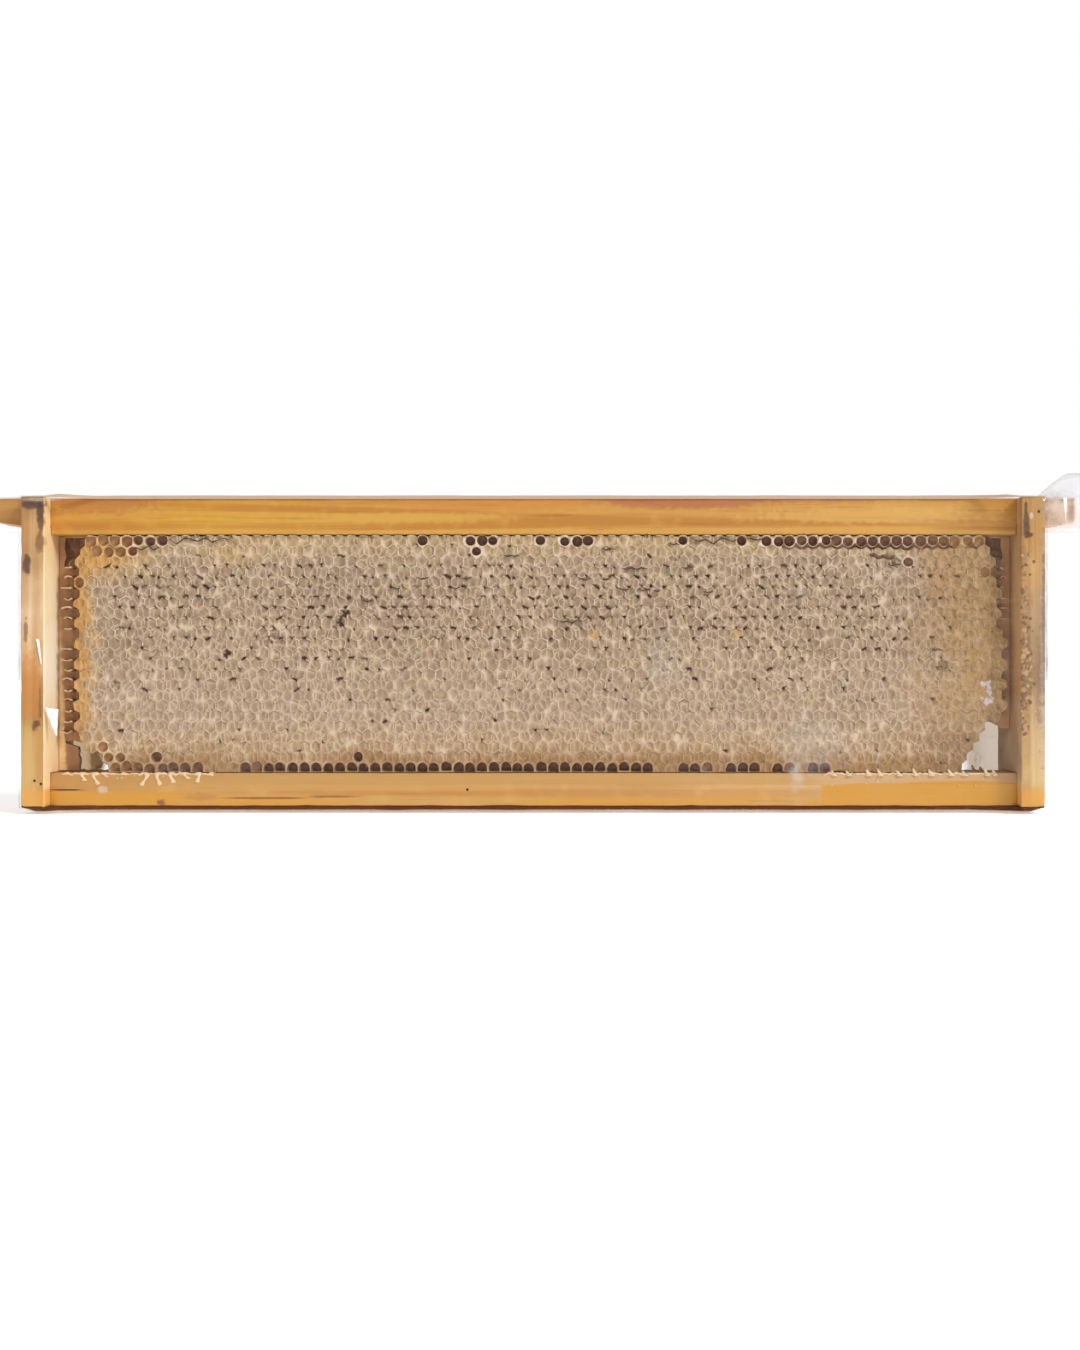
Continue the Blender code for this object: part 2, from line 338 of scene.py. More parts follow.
top_bar = weathered_stick("top_bar_pine", "top_bar", 0)
bar_low, bar_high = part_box("top_bar")
bar_front = bar_low.y / MM
tree, shader = new_material("top bar pine", top_bar)
base = shades_along(tree, 0, -240, 240, (
    (-232, (190, 142, 80)), (-208, (206, 148, 62)), (-140, (210, 158, 64)),
    (-40, (208, 154, 70)), (90, (206, 152, 78)), (170, (212, 160, 80)),
    (204, (196, 142, 62)), (216, (184, 126, 56)), (232, (226, 196, 156))))
colour, bands, hairs = pine_grain(tree, 0, base)
level = place_along(tree, 2)
upper_edge = swayed(tree, level, bands, 10.0)
colour = coated(tree, colour, (rise(tree, upper_edge, 130.5, 136.5, 0.32), (188, 124, 48)),
                (rise(tree, upper_edge, 124.5, 120.5, 0.6), (216, 164, 80)))
colour = stained(tree, colour, bar_front, 9, (
    ((66, 135.4), (76, 8), (176, 104, 68), 0.75, 0.2),
    ((120, 136.4), (110, 5), (184, 118, 74), 0.55, 0.25),
    ((-18, 134.0), (90, 8), (206, 134, 68), 0.5, 0.25),
    ((-190, 133.5), (44, 8), (184, 116, 60), 0.6, 0.5),
    ((-110, 131.5), (60, 2.4), (190, 124, 58), 0.4, 0.6),
    ((-60, 127.3), (90, 4), (216, 170, 78), 0.4, 0.6),
    ((150, 128.3), (90, 6), (222, 178, 100), 0.4, 0.6),
    ((29, 122.5), (8, 2.2), (196, 132, 60), 0.5, 0.6)))
finish_pine(tree, shader, colour, bands, hairs)


# End bars -------------------------------------------------------------------
# Two upright plates of paler pine, slotted over the top bar and nailed to the
# bottom bar. Their feet have soaked up honey, and propolis has left dark stains.
end_low, end_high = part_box("end_bar_right")
end_front = end_low.y / MM
inner_face = end_low.x
END_SHADES = {
    "left": ((0, (208, 164, 94)), (15, (212, 174, 110)), (29, (210, 172, 108)),
             (42, (184, 144, 82)), (54, (198, 152, 92)), (66, (228, 192, 142)),
             (84, (230, 200, 162)), (98, (218, 184, 140)), (108, (196, 160, 112)),
             (122, (206, 162, 108)), (136, (172, 132, 90))),
    "right": ((0, (204, 162, 84)), (14, (220, 190, 136)), (30, (214, 182, 138)),
              (44, (198, 168, 126)), (56, (164, 132, 98)), (70, (172, 142, 106)),
              (84, (188, 156, 116)), (102, (204, 162, 108)), (118, (196, 150, 90)),
              (136, (190, 148, 92)))}
END_STAINS = {
    "left": (((-220.4, 132.3), (6.4, 4.4), (88, 60, 58), 0.85, 0.25),
             ((-216.4, 132.4), (6.6, 4.4), (88, 60, 58), 0.85, 0.25),
             ((-215.1, 129.6), (3.3, 8.0), (92, 62, 56), 0.85, 0.25),
             ((-215.0, 125.2), (3.1, 7.6), (104, 70, 54), 0.85, 0.25),
             ((-215.3, 119.6), (2.0, 3.2), (130, 88, 60), 0.75, 0.3),
             ((-215.4, 115.6), (4.0, 8.0), (136, 92, 60), 0.8, 0.25),
             ((-221.2, 105.8), (3.6, 8.4), (86, 60, 50), 0.85, 0.3),
             ((-221.6, 77.3), (1.6, 10), (130, 92, 62), 0.7, 0.5),
             ((-220, 53), (9, 32), (206, 132, 66), 0.6, 0.4),
             ((-217, 36.6), (3.8, 4.6), (104, 64, 40), 0.85, 0.4),
             ((-215.3, 44.5), (1.3, 16), (136, 84, 52), 0.6, 0.5)),
    "right": (((215.2, 130.6), (1.5, 7), (96, 72, 50), 0.85, 0.25),
              ((215.4, 126.0), (2.6, 8), (96, 72, 54), 0.85, 0.25),
              ((215.6, 121.4), (3.0, 7), (100, 76, 60), 0.85, 0.25),
              ((216.2, 119.4), (3.8, 2.8), (88, 64, 48), 0.85, 0.3),
              ((217.6, 127.6), (1.6, 3), (232, 206, 176), 0.7, 0.3),
              ((223.2, 80), (1.8, 56), (120, 86, 66), 0.8, 0.5),
              ((217, 90), (3.4, 9), (176, 126, 78), 0.5, 0.3),
              ((216, 60), (3.5, 28), (150, 108, 68), 0.6, 0.7),
              ((221, 52), (3.0, 36), (150, 118, 92), 0.5, 0.7),
              ((214.5, 108), (2.0, 18), (158, 108, 64), 0.5, 0.5))}
# The inner faces carry painted light and shade: the left one is painted near white, partly pale
# wood and partly painted light from the right; the right one is painted darker, partly propolis
# and partly painted shade.
INNER_FACE_LIGHT_AND_SHADE = {"left": ((0, (246, 206, 150)), (30, (250, 226, 184)), (62, (254, 240, 214)),
                         (92, (252, 232, 192)), (122, (248, 214, 158))),
                "right": ((0, (232, 200, 150)), (22, (176, 142, 110)), (62, (204, 156, 104)),
                          (92, (208, 154, 96)), (122, (176, 126, 76)))}
for word, side in (("left", -1), ("right", 1)):
    end_bar = weathered_stick("end_bar_pine_" + word, "end_bar_" + word, 2, 0.5 * MM)
    tree, shader = new_material("end bar pine " + word, end_bar)
    base = shades_along(tree, 2, 0, 136, END_SHADES[word])
    colour, bands, hairs = pine_grain(tree, 2, base, 0.45)
    inward = rise(tree, times(tree, place_along(tree, 0), side),
                  inner_face / MM + 0.7, inner_face / MM + 0.3, 0.92)
    inside = shades_along(tree, 2, 0, 136, INNER_FACE_LIGHT_AND_SHADE[word])
    blotch = cloud(tree, stretched(tree, (60, 60, 22)), 1.0, detail=4.0)
    inside = mixed(tree, rise(tree, blotch, 0.42, 0.62, 0.5), inside,
                   INNER_FACE_LIGHT_AND_SHADE[word][0][1])
    colour = mixed(tree, inward, colour, inside)
    colour = stained(tree, colour, end_front, 8, END_STAINS[word])
    level = place_along(tree, 2)
    wet = rise(tree, scaled(tree, bands, 6.0, level), 12.5, 10.0)
    colour = mixed(tree, times(tree, wet, 0.7), colour, (226, 160, 62))
    finish_pine(tree, shader, colour, bands, hairs, wet)


# Bottom bar -----------------------------------------------------------------
# A thinner stick between the feet of the end bars, with a planed slope along
# both upper edges. Leaked honey has soaked its lower edge near both ends.
def larger(tree, first, second):
    return sums(tree, "MAXIMUM", first, second)


bottom_bar = weathered_stick("bottom_bar_pine", "bottom_bar", 0)
stick_low, stick_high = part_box("bottom_bar")
stick_front = stick_low.y / MM
tree, shader = new_material("bottom bar pine", bottom_bar)
base = shades_along(tree, 0, -215, 215, (
    (-205, (196, 146, 82)), (-120, (202, 154, 88)), (0, (204, 156, 90)),
    (40, (206, 160, 96)), (90, (214, 170, 108)), (125, (212, 174, 120)), (205, (202, 156, 90))))
colour, bands, hairs = pine_grain(tree, 0, base, 0.35)
level = place_along(tree, 2)
along_bar = place_along(tree, 0)
pinkish = times(tree, rise(tree, level, 8.6, 10.2, 0.6), rise(tree, along_bar, 118.0, 130.0))
colour = coated(tree, colour, (rise(tree, level, 9.0, 10.0, 0.6), (196, 150, 90)),
                (pinkish, (210, 174, 132)))
wave = cloud(tree, stretched(tree, (26, 26, 26)), 1.0, detail=2.0)
edge = swayed(tree, level, wave, 5.0)
left_wet = times(tree, rise(tree, scaled(tree, edge, -3.0, along_bar), -150.0, -176.0),
                 rise(tree, edge, 7.0, 5.4))
right_wet = times(tree, rise(tree, along_bar, 126.8, 127.6), rise(tree, edge, 10.6, 9.6))
faint_wet = times(tree, rise(tree, edge, 6.0, 3.4), rise(tree, cloud(
    tree, stretched(tree, (22, 22, 60)), 1.0), 0.36, 0.58, 0.75))
wet = larger(tree, larger(tree, left_wet, right_wet), faint_wet)
colour = mixed(tree, times(tree, wet, 0.9), colour, (210, 148, 34))
colour = stained(tree, colour, stick_front, 8, (
    ((-207, 7.2), (15, 0.8), (84, 50, 26), 0.9, 0.15),
    ((-118, 3.6), (38, 1.0), (128, 80, 40), 0.8, 0.2),
    ((-88, 4.3), (24, 0.9), (134, 86, 46), 0.7, 0.25),
    ((-147, 4.0), (12, 3.4), (176, 116, 58), 0.45, 0.5),
    ((-164, 1.6), (4, 3.6), (120, 74, 40), 0.8, 0.4),
    ((104, 2.2), (30, 0.6), (176, 124, 66), 0.5, 0.4)))
finish_pine(tree, shader, colour, bands, hairs, wet)


# Nails ----------------------------------------------------------------------
# Thin wire nails driven in from the front and from both ends, their small
# rusty heads sunk level with the wood.
def loft(body, loops):
    """A closed skin over loops of equally many points. Gives back its points."""
    rings = [[body.verts.new(point) for point in loop] for loop in loops]
    for here, there in zip(rings, rings[1:]):
        for i in range(len(here)):
            j = (i + 1) % len(here)
            body.faces.new((here[i], here[j], there[j], there[i]))
    body.faces.new(rings[0])
    body.faces.new(rings[-1])
    return rings


def round_head(body, centre, radius, out):
    """A low dome facing along out, with a sunk rim round it."""
    aside = out.orthogonal().normalized()
    up = out.cross(aside)
    loops = []
    for share, height in ((1.15, -0.5), (1.0, 0.12), (0.75, 0.24), (0.4, 0.3)):
        loops.append([centre + radius * share * (
            aside * cos(2 * pi * i / 12) + up * sin(2 * pi * i / 12)) + out * radius * height
            for i in range(12)])
    loft(body, loops)


def finished(name, body):
    """Turns the built body into a smooth piece that rides on the frame."""
    bmesh.ops.recalc_face_normals(body, faces=body.faces[:])
    mesh = bpy.data.meshes.new(name)
    body.to_mesh(mesh)
    body.free()
    mesh.shade_smooth()
    piece = bpy.data.objects.new(name, mesh)
    bpy.context.collection.objects.link(piece)
    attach(piece, "root")
    return piece


body = bmesh.new()
front = Vector((0, -1, 0))
for x, level, y in ((-217.7, 11.7, end_front), (-214.9, 10.3, end_front),
                    (220.9, 129.3, end_front), (-29.2, 7.3, stick_front)):
    round_head(body, Vector((x * MM, y * MM, foot + level * MM)), 0.6 * MM, front)
    round_head(body, Vector((-x * MM, -y * MM, foot + level * MM)), 0.6 * MM, -front)
for side in (-1, 1):
    for y in (-6.5, 7.0):
        place = Vector((side * end_high.x, y * MM, foot + 6.8 * MM))
        round_head(body, place, 1.1 * MM, Vector((side, 0, 0)))
nails = finished("nail_heads", body)
tree, shader = new_material("rusty nail", nails)
rust = cloud(tree, stretched(tree), 2500.0)
feed(shader, {"Base Color": mixed(tree, rust, (46, 36, 32), (96, 62, 42)),
              "Roughness": scaled(tree, rust, 0.4, 0.35), "Metallic": 0.5})


# Crust ----------------------------------------------------------------------
# Bees have smeared crumbs of wax and propolis along the inner front edge of the
# right end bar; from mid-height down they lie thick enough to roughen it.
body = bmesh.new()
dice = random.Random(21)
for _ in range(300):
    level = dice.choice((dice.uniform(22, 112), dice.gauss(66, 13), dice.gauss(58, 9)))
    across = 213.5 + abs(dice.gauss(0, 1.8))
    if 0 < level < 118 and across < 222:
        size = dice.uniform(0.25, 0.8)
        spread = Vector((across * MM, end_front * MM, foot + level * MM))
        round_head(body, spread, size * MM, front)
        round_head(body, Vector((-spread.x, -spread.y, spread.z)), size * MM, -front)
crust = finished("wax_and_propolis_crumbs", body)
tree, shader = new_material("wax and propolis", crust)
speck = rise(tree, cloud(tree, stretched(tree), 420.0, detail=4.0), 0.42, 0.64)
feed(shader, {"Base Color": mixed(tree, speck, (132, 96, 60), (196, 160, 116)),
              "Roughness": 0.4})


# Comb -----------------------------------------------------------------------
# Worker comb of beeswax full of honey: two layers of six-sided cells back to
# back, closed with thin wrinkled cappings. The bees left the outermost cells
# open and the corners unbuilt, and the cappings have cracked here and there.
PITCH = 5.24 * MM              # from one upright wall to the next
RISE = 4.552 * MM              # from one row to the next
ROWS = 23
SIDE_POINTS = 4                # steps along one side of a cell
WALL_RING = 0.84               # ring of points just inside the wall
MIDDLE_RING = 0.5
TROUGH_RING = 0.86
MOUTH_RADIUS = 2.35 * MM       # of an open cell
MIDRIB = 0.15 * MM             # half the thickness of the sheet between the layers
TROUGH = 1.3 * MM              # floor of the open margin along the end bars
LAP = 0.12 * MM                # how far wax stands proud of the top bar

comb_low, comb_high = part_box("comb")
comb_half = comb_high.y
first_row = comb_low.z + 2.2 * MM
last_row = first_row + (ROWS - 1) * RISE

# Corners that the bees left open: side, level, width and height in mm
CORNER_GAPS = ((-1, 1, 13.5, 13.5), (1, 1, 11.5, 11.5), (-1, -1, 23.0, 14.5),
               (1, -1, 23.0, 24.0))
# Open cells: row from the bottom, the stretch of it in mm, how round the mouths
# are, from 1, round, to 0, as six-sided as the cell, and how deep in mm
OPEN_RUNS = ((22, -197, -183, 0.3, 1.1), (22, -183, -178, 0.5, 1.8), (22, -178, -162, 0.7, 2.8),
             (22, -51, -47, 1, 3.4), (22, -30, -16, 1, 3.4), (22, 1, 5, 1, 3.4),
             (22, 12, 26, 1, 3.4), (22, 64, 69, 1, 3.4), (22, 91, 96, 1, 3.4),
             (22, 101, 116, 0.9, 3.0), (22, 117, 121, 0.8, 1.5), (22, 122, 132, 0.9, 2.8),
             (22, 133, 141, 0.8, 1.5), (22, 142, 183, 0.8, 2.0), (22, 183, 198, 0.7, 1.2),
             (21, -27, -24, 1, 3.0), (21, -194, -192.5, 1, 0.9), (21, -189, -187, 0.9, 1.5),
             (21, -184, -181.5, 0.6, 1.4), (21, -179, -176, 1, 2.4), (20, 164, 167, 1, 1.6),
             (0, -196, -146, 0.9, 1.7), (0, -130, -126, 0.9, 2.6), (0, -125, -121, 0.9, 1.2),
             (0, -120, 52, 0.9, 3.4), (0, 64, 73, 0.9, 3.0), (0, 74, 78, 0.9, 1.2),
             (0, 85, 99, 0.9, 3.2), (0, 106, 110, 0.9, 3.0), (0, 111, 115, 0.9, 1.2),
             (0, 122, 126, 0.9, 3.0), (0, 127, 131, 0.9, 2.0), (1, -189, -181, 1, 1.4),
             (1, -169, -165, 1, 2.6), (1, -80.5, -75.5, 1, 3.0), (2, -192, -189, 1, 0.9),
             (18, -204, -200, 1, 2.2), (11, -203.5, -199, 0.3, 1.2), (19, 195, 200, 0.4, 1.6))
# Gaping cracks along the lower side of a row of cells: row, stretch in mm, width
CRACKS = ((22, -192, -184, 0.4), (22, 110, 139, 0.5), (22, 139, 197, 1), (21, 149, 160, 0.6),
          (0, 132, 150, 0.8))
# Hairline cracks zigzagging over the front cappings: stretch, level and swing in mm
HAIRLINES = ((-161, -133, 117.4, 1.8), (-176, -165, 114.0, 0.9), (69, 91, 117.2, 1.6),
             (95, 101.5, 117.8, 1.0), (-13.5, -6, 110.4, 0.6), (10.5, 21.5, 81.5, 0.7),
             (60, 64.5, 115.6, 0.4), (175.5, 180.5, 69.2, 0.5), (30, 36, 113.6, 0.5),
             (-205, -203.6, 86.0, 0.4), (157, 162, 106.6, 0.4), (39, 49.5, 104.9, 0.6),
             (65.5, 71, 105.3, 0.5), (20.4, 25.3, 100.4, 0.6), (29.8, 33.3, 100.2, 0.5),
             (38, 42, 95.7, 0.5), (46, 51.7, 95.6, 0.6), (53, 56.3, 95.0, 0.4),
             (75, 79.4, 94.4, 0.6), (-51.4, -46.8, 100.7, 0.6), (-32.4, -27.8, 100.5, 0.6),
             (-62.4, -59, 96.1, 0.5), (-36.4, -32.3, 96.2, 0.6), (-76, -71.5, 90.7, 0.6),
             (-85.3, -82.8, 110.4, 0.4))
# Cappings chewed open and dark, and cappings with a pale ring, by place in mm
TORN = ((-85.9, 86.6), (-85.9, 82.6), (-82.4, 83.5), (-134.1, 68.0))
RINGED = ((-57.9, 83.1), (-115.6, 73.8), (-184.0, 51.9), (158.0, 107.3), (179.5, 61.8),
          (-98.0, 25.5))
YELLOW = ((27.5, 76.9), (77.0, 75.1), (90.2, 76.0))


def smooth(value):
    value = within(value, 0.0, 1.0)
    return value * value * (3 - 2 * value)


def cell_centre(row, column):
    return Vector(((column + 0.62 + (row % 2) / 2) * PITCH, 0, first_row + row * RISE))


def near_any(places, centre, reach=2.7 * MM):
    return any(hypot(centre.x - x * MM, centre.z - foot - z * MM) < reach for x, z in places)


def is_missing(centre, side):
    """Where there is no cell; the upper corners are open on the front only."""
    if inner_face - abs(centre.x) < 0.2 * PITCH:
        return True
    for across_side, level, width, height in CORNER_GAPS:
        if side > 0 and level > 0:
            continue
        across = max(inner_face - across_side * centre.x, 0.0)
        up = comb_high.z - centre.z if level > 0 else centre.z - comb_low.z
        if hypot(across / (width * MM), max(up, 0.0) / (height * MM)) < 1.0:
            return True
    return False


def cell_kind(row, centre):
    """capped, trough beside an end bar, or how round and deep an open cell is."""
    for run_row, start, end, roundness, deep in OPEN_RUNS:
        if row == run_row and start * MM <= centre.x <= end * MM:
            return roundness, deep * MM
    reach = (10.6 if centre.x < 0 else 8.0 if centre.z > foot + 78 * MM else 3.4) * MM
    if inner_face - abs(centre.x) < reach + 1.6 * MM * rough(0, 0, centre.z, 7, 51):
        return "trough"
    return "capped"


def cell_outline(row):
    """Points round a cell, clockwise from its top, SIDE_POINTS to a side. The
    outermost rows end straight along the bars."""
    half, low, tip = PITCH / 2, RISE / 3, 2 * RISE / 3
    upper, top, lower, bottom = low, tip, -low, -tip
    if row == ROWS - 1:
        upper = top = comb_high.z - 0.3 * MM - last_row
    if row == 0:
        lower = bottom = comb_low.z + 0.1 * MM - first_row
    tips = [Vector((0, 0, top)), Vector((half, 0, upper)), Vector((half, 0, lower)),
            Vector((0, 0, bottom)), Vector((-half, 0, lower)), Vector((-half, 0, upper))]
    return [here.lerp(there, part / SIDE_POINTS)
            for here, there in zip(tips, tips[1:] + tips[:1]) for part in range(SIDE_POINTS)]


def comb_surface(x, z, seed):
    """How far the cappings stand out from the middle of the comb."""
    aside = inner_face - abs(x)
    swell = 0.4 * MM * rough(x, 0, z, 45, seed + 1) + 0.2 * MM * rough(x, 0, z, 14, seed + 2)
    fall = 2.4 * MM * (1 - smooth((aside - 5 * MM) / (13 * MM)))
    return comb_half - 1.1 * MM + swell - fall


def wander(x, z, seed):
    """Where a point of the neat pattern of cells really lies, inside the frame."""
    side = 0.6 * MM * rough(x, 0, z, 10, seed) + 0.66 * MM * rough(x, 0, z, 3.4, seed + 1)
    up = 0.5 * MM * rough(x, 0, z, 10, seed + 2) + 0.6 * MM * rough(x, 0, z, 3.4, seed + 3)
    up *= smooth(min(z - comb_low.z, comb_high.z - z) / (2 * MM))
    return within(x + side, comb_low.x, comb_high.x), within(z + up, comb_low.z, comb_high.z)


def crack_width(x, z):
    """0 on sound wax, up to 1 in a wide crack along the lower side of a row."""
    level = (z - first_row) / RISE
    row = floor(level)
    if 0.3 < level - row < 0.7:
        for crack_row, start, end, width in CRACKS:
            if crack_row == row + 1 and start * MM <= x <= end * MM:
                return width * smooth(0.75 + 1.3 * rough(x, 0, z, 7, 78))
    return 0.0


def goldenness(x, z):
    """0 where cappings are pale, 1 where honey shines through at the margins."""
    level = z - foot
    left = 1 - smooth((x + 0.203) / 0.013 + 0.5 * rough(x, 0, z, 9, 31))
    top_left = 1 - smooth(hypot((x + 0.200) / 0.052, (level - 0.112) / 0.021))
    right = 0.3 * smooth((x - 0.150) / 0.052 + 0.3 * rough(x, 0, z, 15, 32))
    low = 0.2 * (1 - smooth((level - 0.017) / 0.012)) * (0.9 + rough(x, 0, z, 12, 34))
    top = 0.3 * smooth((level - 0.103) / 0.012) * (0.5 + rough(x, 0, z, 22, 33))
    stripe = 0.5 * (1 - smooth(hypot((x + 0.134) / 0.030, (level - 0.112) / 0.012)))
    return within(max(left, right, top_left, low + top, stripe), 0.0, 1.0)


def pinhole_chance(x, z):
    """How likely a capping is to have a small tear in its upper edge."""
    level = z - foot
    high = smooth((level - 0.064) / 0.016) * (1 - smooth((level - 0.100) / 0.009))
    middle = smooth((level - 0.040) / 0.012) * (1 - smooth((level - 0.104) / 0.006))
    patchy = 0.6 + 0.9 * max(rough(x, 0, z, 28, 41), -0.4)
    middle_of_comb = smooth((0.196 - abs(x)) / 0.02)
    return (0.06 + 0.85 * high * patchy + 0.24 * middle) * middle_of_comb


def build_comb_face(name, side, seed):
    """One side of the comb: cappings, open cells, rims and a flat base inside."""
    dice = random.Random(seed)
    body = bmesh.new()
    layers = {key: body.verts.layers.float.new(key)
              for key in ("wall", "pit", "hollow", "gold", "tone")}
    cells = []
    firm = set()               # spots on the walls of cells that aren't in a trough
    pits = {}

    def spot(point):
        return round(point.x * 1e5), round(point.z * 1e5)

    for row in range(ROWS):
        outline = cell_outline(row)
        for column in range(-43, 43):
            centre = cell_centre(row, column)
            if is_missing(centre, side):
                continue
            kind = cell_kind(row, centre)
            cells.append((centre, outline, kind))
            if kind != "trough":
                firm.update(spot(centre + p) for p in outline)
            if kind == "capped" and dice.random() < pinhole_chance(centre.x, centre.z):
                start = dice.choice((-3, -2, -1, -1, 0, 0))
                deep = dice.uniform(0.6, 1.0)
                for i in range(start, start + dice.choice((1, 1, 1, 2, 2, 3, 4))):
                    pits[spot(centre + outline[i])] = deep

    def mark(point, x, z, gold=None, **marks):
        marks["gold"] = goldenness(x, z) if gold is None else gold
        for key, value in marks.items():
            point[layers[key]] = value

    def place(x, z, out, **marks):
        point = body.verts.new((x, side * max(out, 0.5 * MM), z))
        mark(point, x, z, **marks)
        return point

    def close(corners):
        """A face over corners that run clockwise seen from the front."""
        body.faces.new(corners if side < 0 else corners[::-1])

    shared = {}

    def wall_point(neat, centre):
        """A point on the wall between cells: a crest, a crack, or low in a trough."""
        key = spot(neat)
        if key in shared:
            return shared[key]
        x, z = wander(neat.x, neat.z, seed)
        if key not in firm:
            shared[key] = place(x, z, TROUGH, hollow=1.0, tone=0.5)
            return shared[key]
        width = crack_width(neat.x, neat.z)
        pit = 0.0 if width else pits.get(key, 0.0)
        sunk = (1.5 * pit + 3.0 * width) * MM
        out = comb_surface(x, z, seed) + 0.34 * MM + 0.3 * MM * rough(x, 0, z, 4, seed + 5) - sunk
        if neat.z > comb_high.z - 0.4 * MM:
            crest = cos(pi * (neat.x - centre.x) / PITCH) ** 2
            z = comb_high.z + (0.55 * crest - 0.4) * MM * (0.8 + 0.5 * rough(x, 0, z, 9, seed))
            out = out - 1.0 * MM * (1 - crest) if crest < 0.5 else comb_half + LAP
        shared[key] = place(x, z, out, wall=1.0 - min(2 * width, 1.0), pit=pit, tone=0.5,
                            hollow=min(2 * width, 1.0))
        return shared[key]

    def join(outer, inner):
        """Faces between two rings with as many points, or half as many."""
        share = len(outer) // len(inner)
        for i in range(len(outer)):
            j = (i + 1) % len(outer)
            a, b = inner[i // share], inner[(j // share) % len(inner)]
            close([outer[i], outer[j], b] if a is b else [outer[i], outer[j], b, a])

    def open_cell(walls, centre, outline, roundness, deep):
        """A rim of wax round a mouth, and the cell behind it."""
        cx, cz = wander(centre.x, centre.z, seed)
        radius = MOUTH_RADIUS * dice.uniform(0.86, 1.06)
        tall = dice.uniform(0.92, 1.12)
        lean = 0.25 * MM * dice.uniform(-1.0, 1.0)
        floor_level = comb_surface(cx, cz, seed) - deep
        rings = ([], [], [])
        for i, p in enumerate(outline):
            turn = 2 * pi * i / len(outline)
            round_point = Vector((lean + radius * sin(turn), 0, radius * tall * cos(turn)))
            flat_foot = centre.z < first_row + 1 * MM and p.z < 0
            rim = (p * 0.93).lerp(round_point, 0.15 if flat_foot else roundness)
            for ring, scale, lift, hollow, wall in (
                    (rings[0], 1.03, 0.3 * MM, 0.0, 1.0), (rings[1], 0.92, -0.4 * MM, 0.5, 0.4),
                    (rings[2], 0.84, None, 1.0, 0.0)):
                x = within(cx + rim.x * scale, comb_low.x, comb_high.x)
                z = within(cz + rim.z * scale, comb_low.z, comb_high.z)
                out = floor_level if lift is None else comb_surface(x, z, seed) + lift
                ring.append(place(x, z, out, wall=wall, hollow=hollow, tone=0.5))
        for outer, inner in ((walls, rings[0]), (rings[0], rings[1]), (rings[1], rings[2])):
            join(outer, inner)
        close(rings[2])

    def trough_cell(walls, centre, outline):
        """A cell of the margin: steep walls where capped wax ends, and a low floor."""
        ring = []
        for p in outline:
            x, z = wander(centre.x + TROUGH_RING * p.x, centre.z + TROUGH_RING * p.z, seed)
            ring.append(place(x, z, TROUGH, hollow=1.0, tone=0.5))
        join(walls, ring)
        close(ring)

    def capped_cell(walls, centre, outline):
        """A capping: low behind its walls, with a wrinkled middle."""
        cx, cz = wander(centre.x, centre.z, seed)
        tone = dice.random()
        dome = 0.38 * MM * dice.uniform(-1.0, 0.9)
        # Painted shade on the upper side of many cappings, kept in the same attribute as the
        # pinholes.
        shaded = dice.uniform(0.0, 0.34)
        torn = near_any(TORN, Vector((cx, 0, cz))) if side < 0 else dice.random() < 0.003
        ringed = near_any(RINGED, Vector((cx, 0, cz))) if side < 0 else dice.random() < 0.003
        gold = 0.55 if side < 0 and near_any(YELLOW, Vector((cx, 0, cz))) else None
        inner_wall = []
        for i, p in enumerate(outline):
            x, z = wander(centre.x + p.x * WALL_RING, centre.z + p.z * WALL_RING, seed)
            pit = 0.6 * pits.get(spot(centre + p), 0.0)
            width = crack_width(centre.x + p.x, centre.z + p.z)
            high_side = min(i, len(outline) - i) <= SIDE_POINTS
            out = comb_surface(x, z, seed) + 0.3 * MM * rough(x, 0, z, 1.9, seed + 6)
            out -= (1.6 * pit + 2.2 * width + (0.5 if ringed else 0.0)) * MM
            pit = max(pit, shaded if high_side else 0.0)
            inner_wall.append(place(x, z, out, wall=0.9 if ringed else 0.35, pit=pit,
                                    tone=tone, gold=gold, hollow=min(1.5 * width, 1.0)))
        middle = []
        for p in outline[::2]:
            x, z = wander(centre.x + p.x * MIDDLE_RING, centre.z + p.z * MIDDLE_RING, seed)
            out = comb_surface(x, z, seed) + dome + 0.3 * MM * rough(x, 0, z, 2.2, seed + 7)
            tear = max(0.45 + rough(x, 0, z, 1.5, seed + 8), 0.0) if torn or ringed else 0.0
            middle.append(place(x, z, out - 1.4 * MM * tear, tone=tone, gold=gold,
                                pit=min(tear * 1.3, 1.0) if torn else 0.5 * tear))
        join(walls, inner_wall)
        join(inner_wall, middle)
        hub_out = comb_surface(cx, cz, seed) + dome * 1.4 - (1.5 * MM if torn else 0.0)
        hub = place(cx, cz, hub_out, pit=0.7 if torn else 0.0, tone=tone, gold=gold)
        for here, there in zip(middle, middle[1:] + middle[:1]):
            close([here, there, hub])

    for centre, outline, kind in cells:
        walls = [wall_point(centre + p, centre) for p in outline]
        if kind == "trough":
            trough_cell(walls, centre, outline)
        elif kind == "capped":
            capped_cell(walls, centre, outline)
        else:
            open_cell(walls, centre, outline, *kind)

    bmesh.ops.remove_doubles(body, verts=body.verts[:], dist=0.02 * MM)
    rim_edges = [edge for edge in body.edges if edge.is_boundary]
    skirt = bmesh.ops.extrude_edge_only(body, edges=rim_edges)["geom"]
    for point in skirt:
        if isinstance(point, bmesh.types.BMVert):
            point.co.y = side * MIDRIB
            point.co.z = min(point.co.z, comb_high.z)
            mark(point, point.co.x, point.co.z, wall=0.0, hollow=0.7)
    lower_rim = [edge for edge in skirt if isinstance(edge, bmesh.types.BMEdge)
                 and edge.is_boundary]
    bmesh.ops.triangle_fill(body, use_beauty=False, edges=lower_rim)

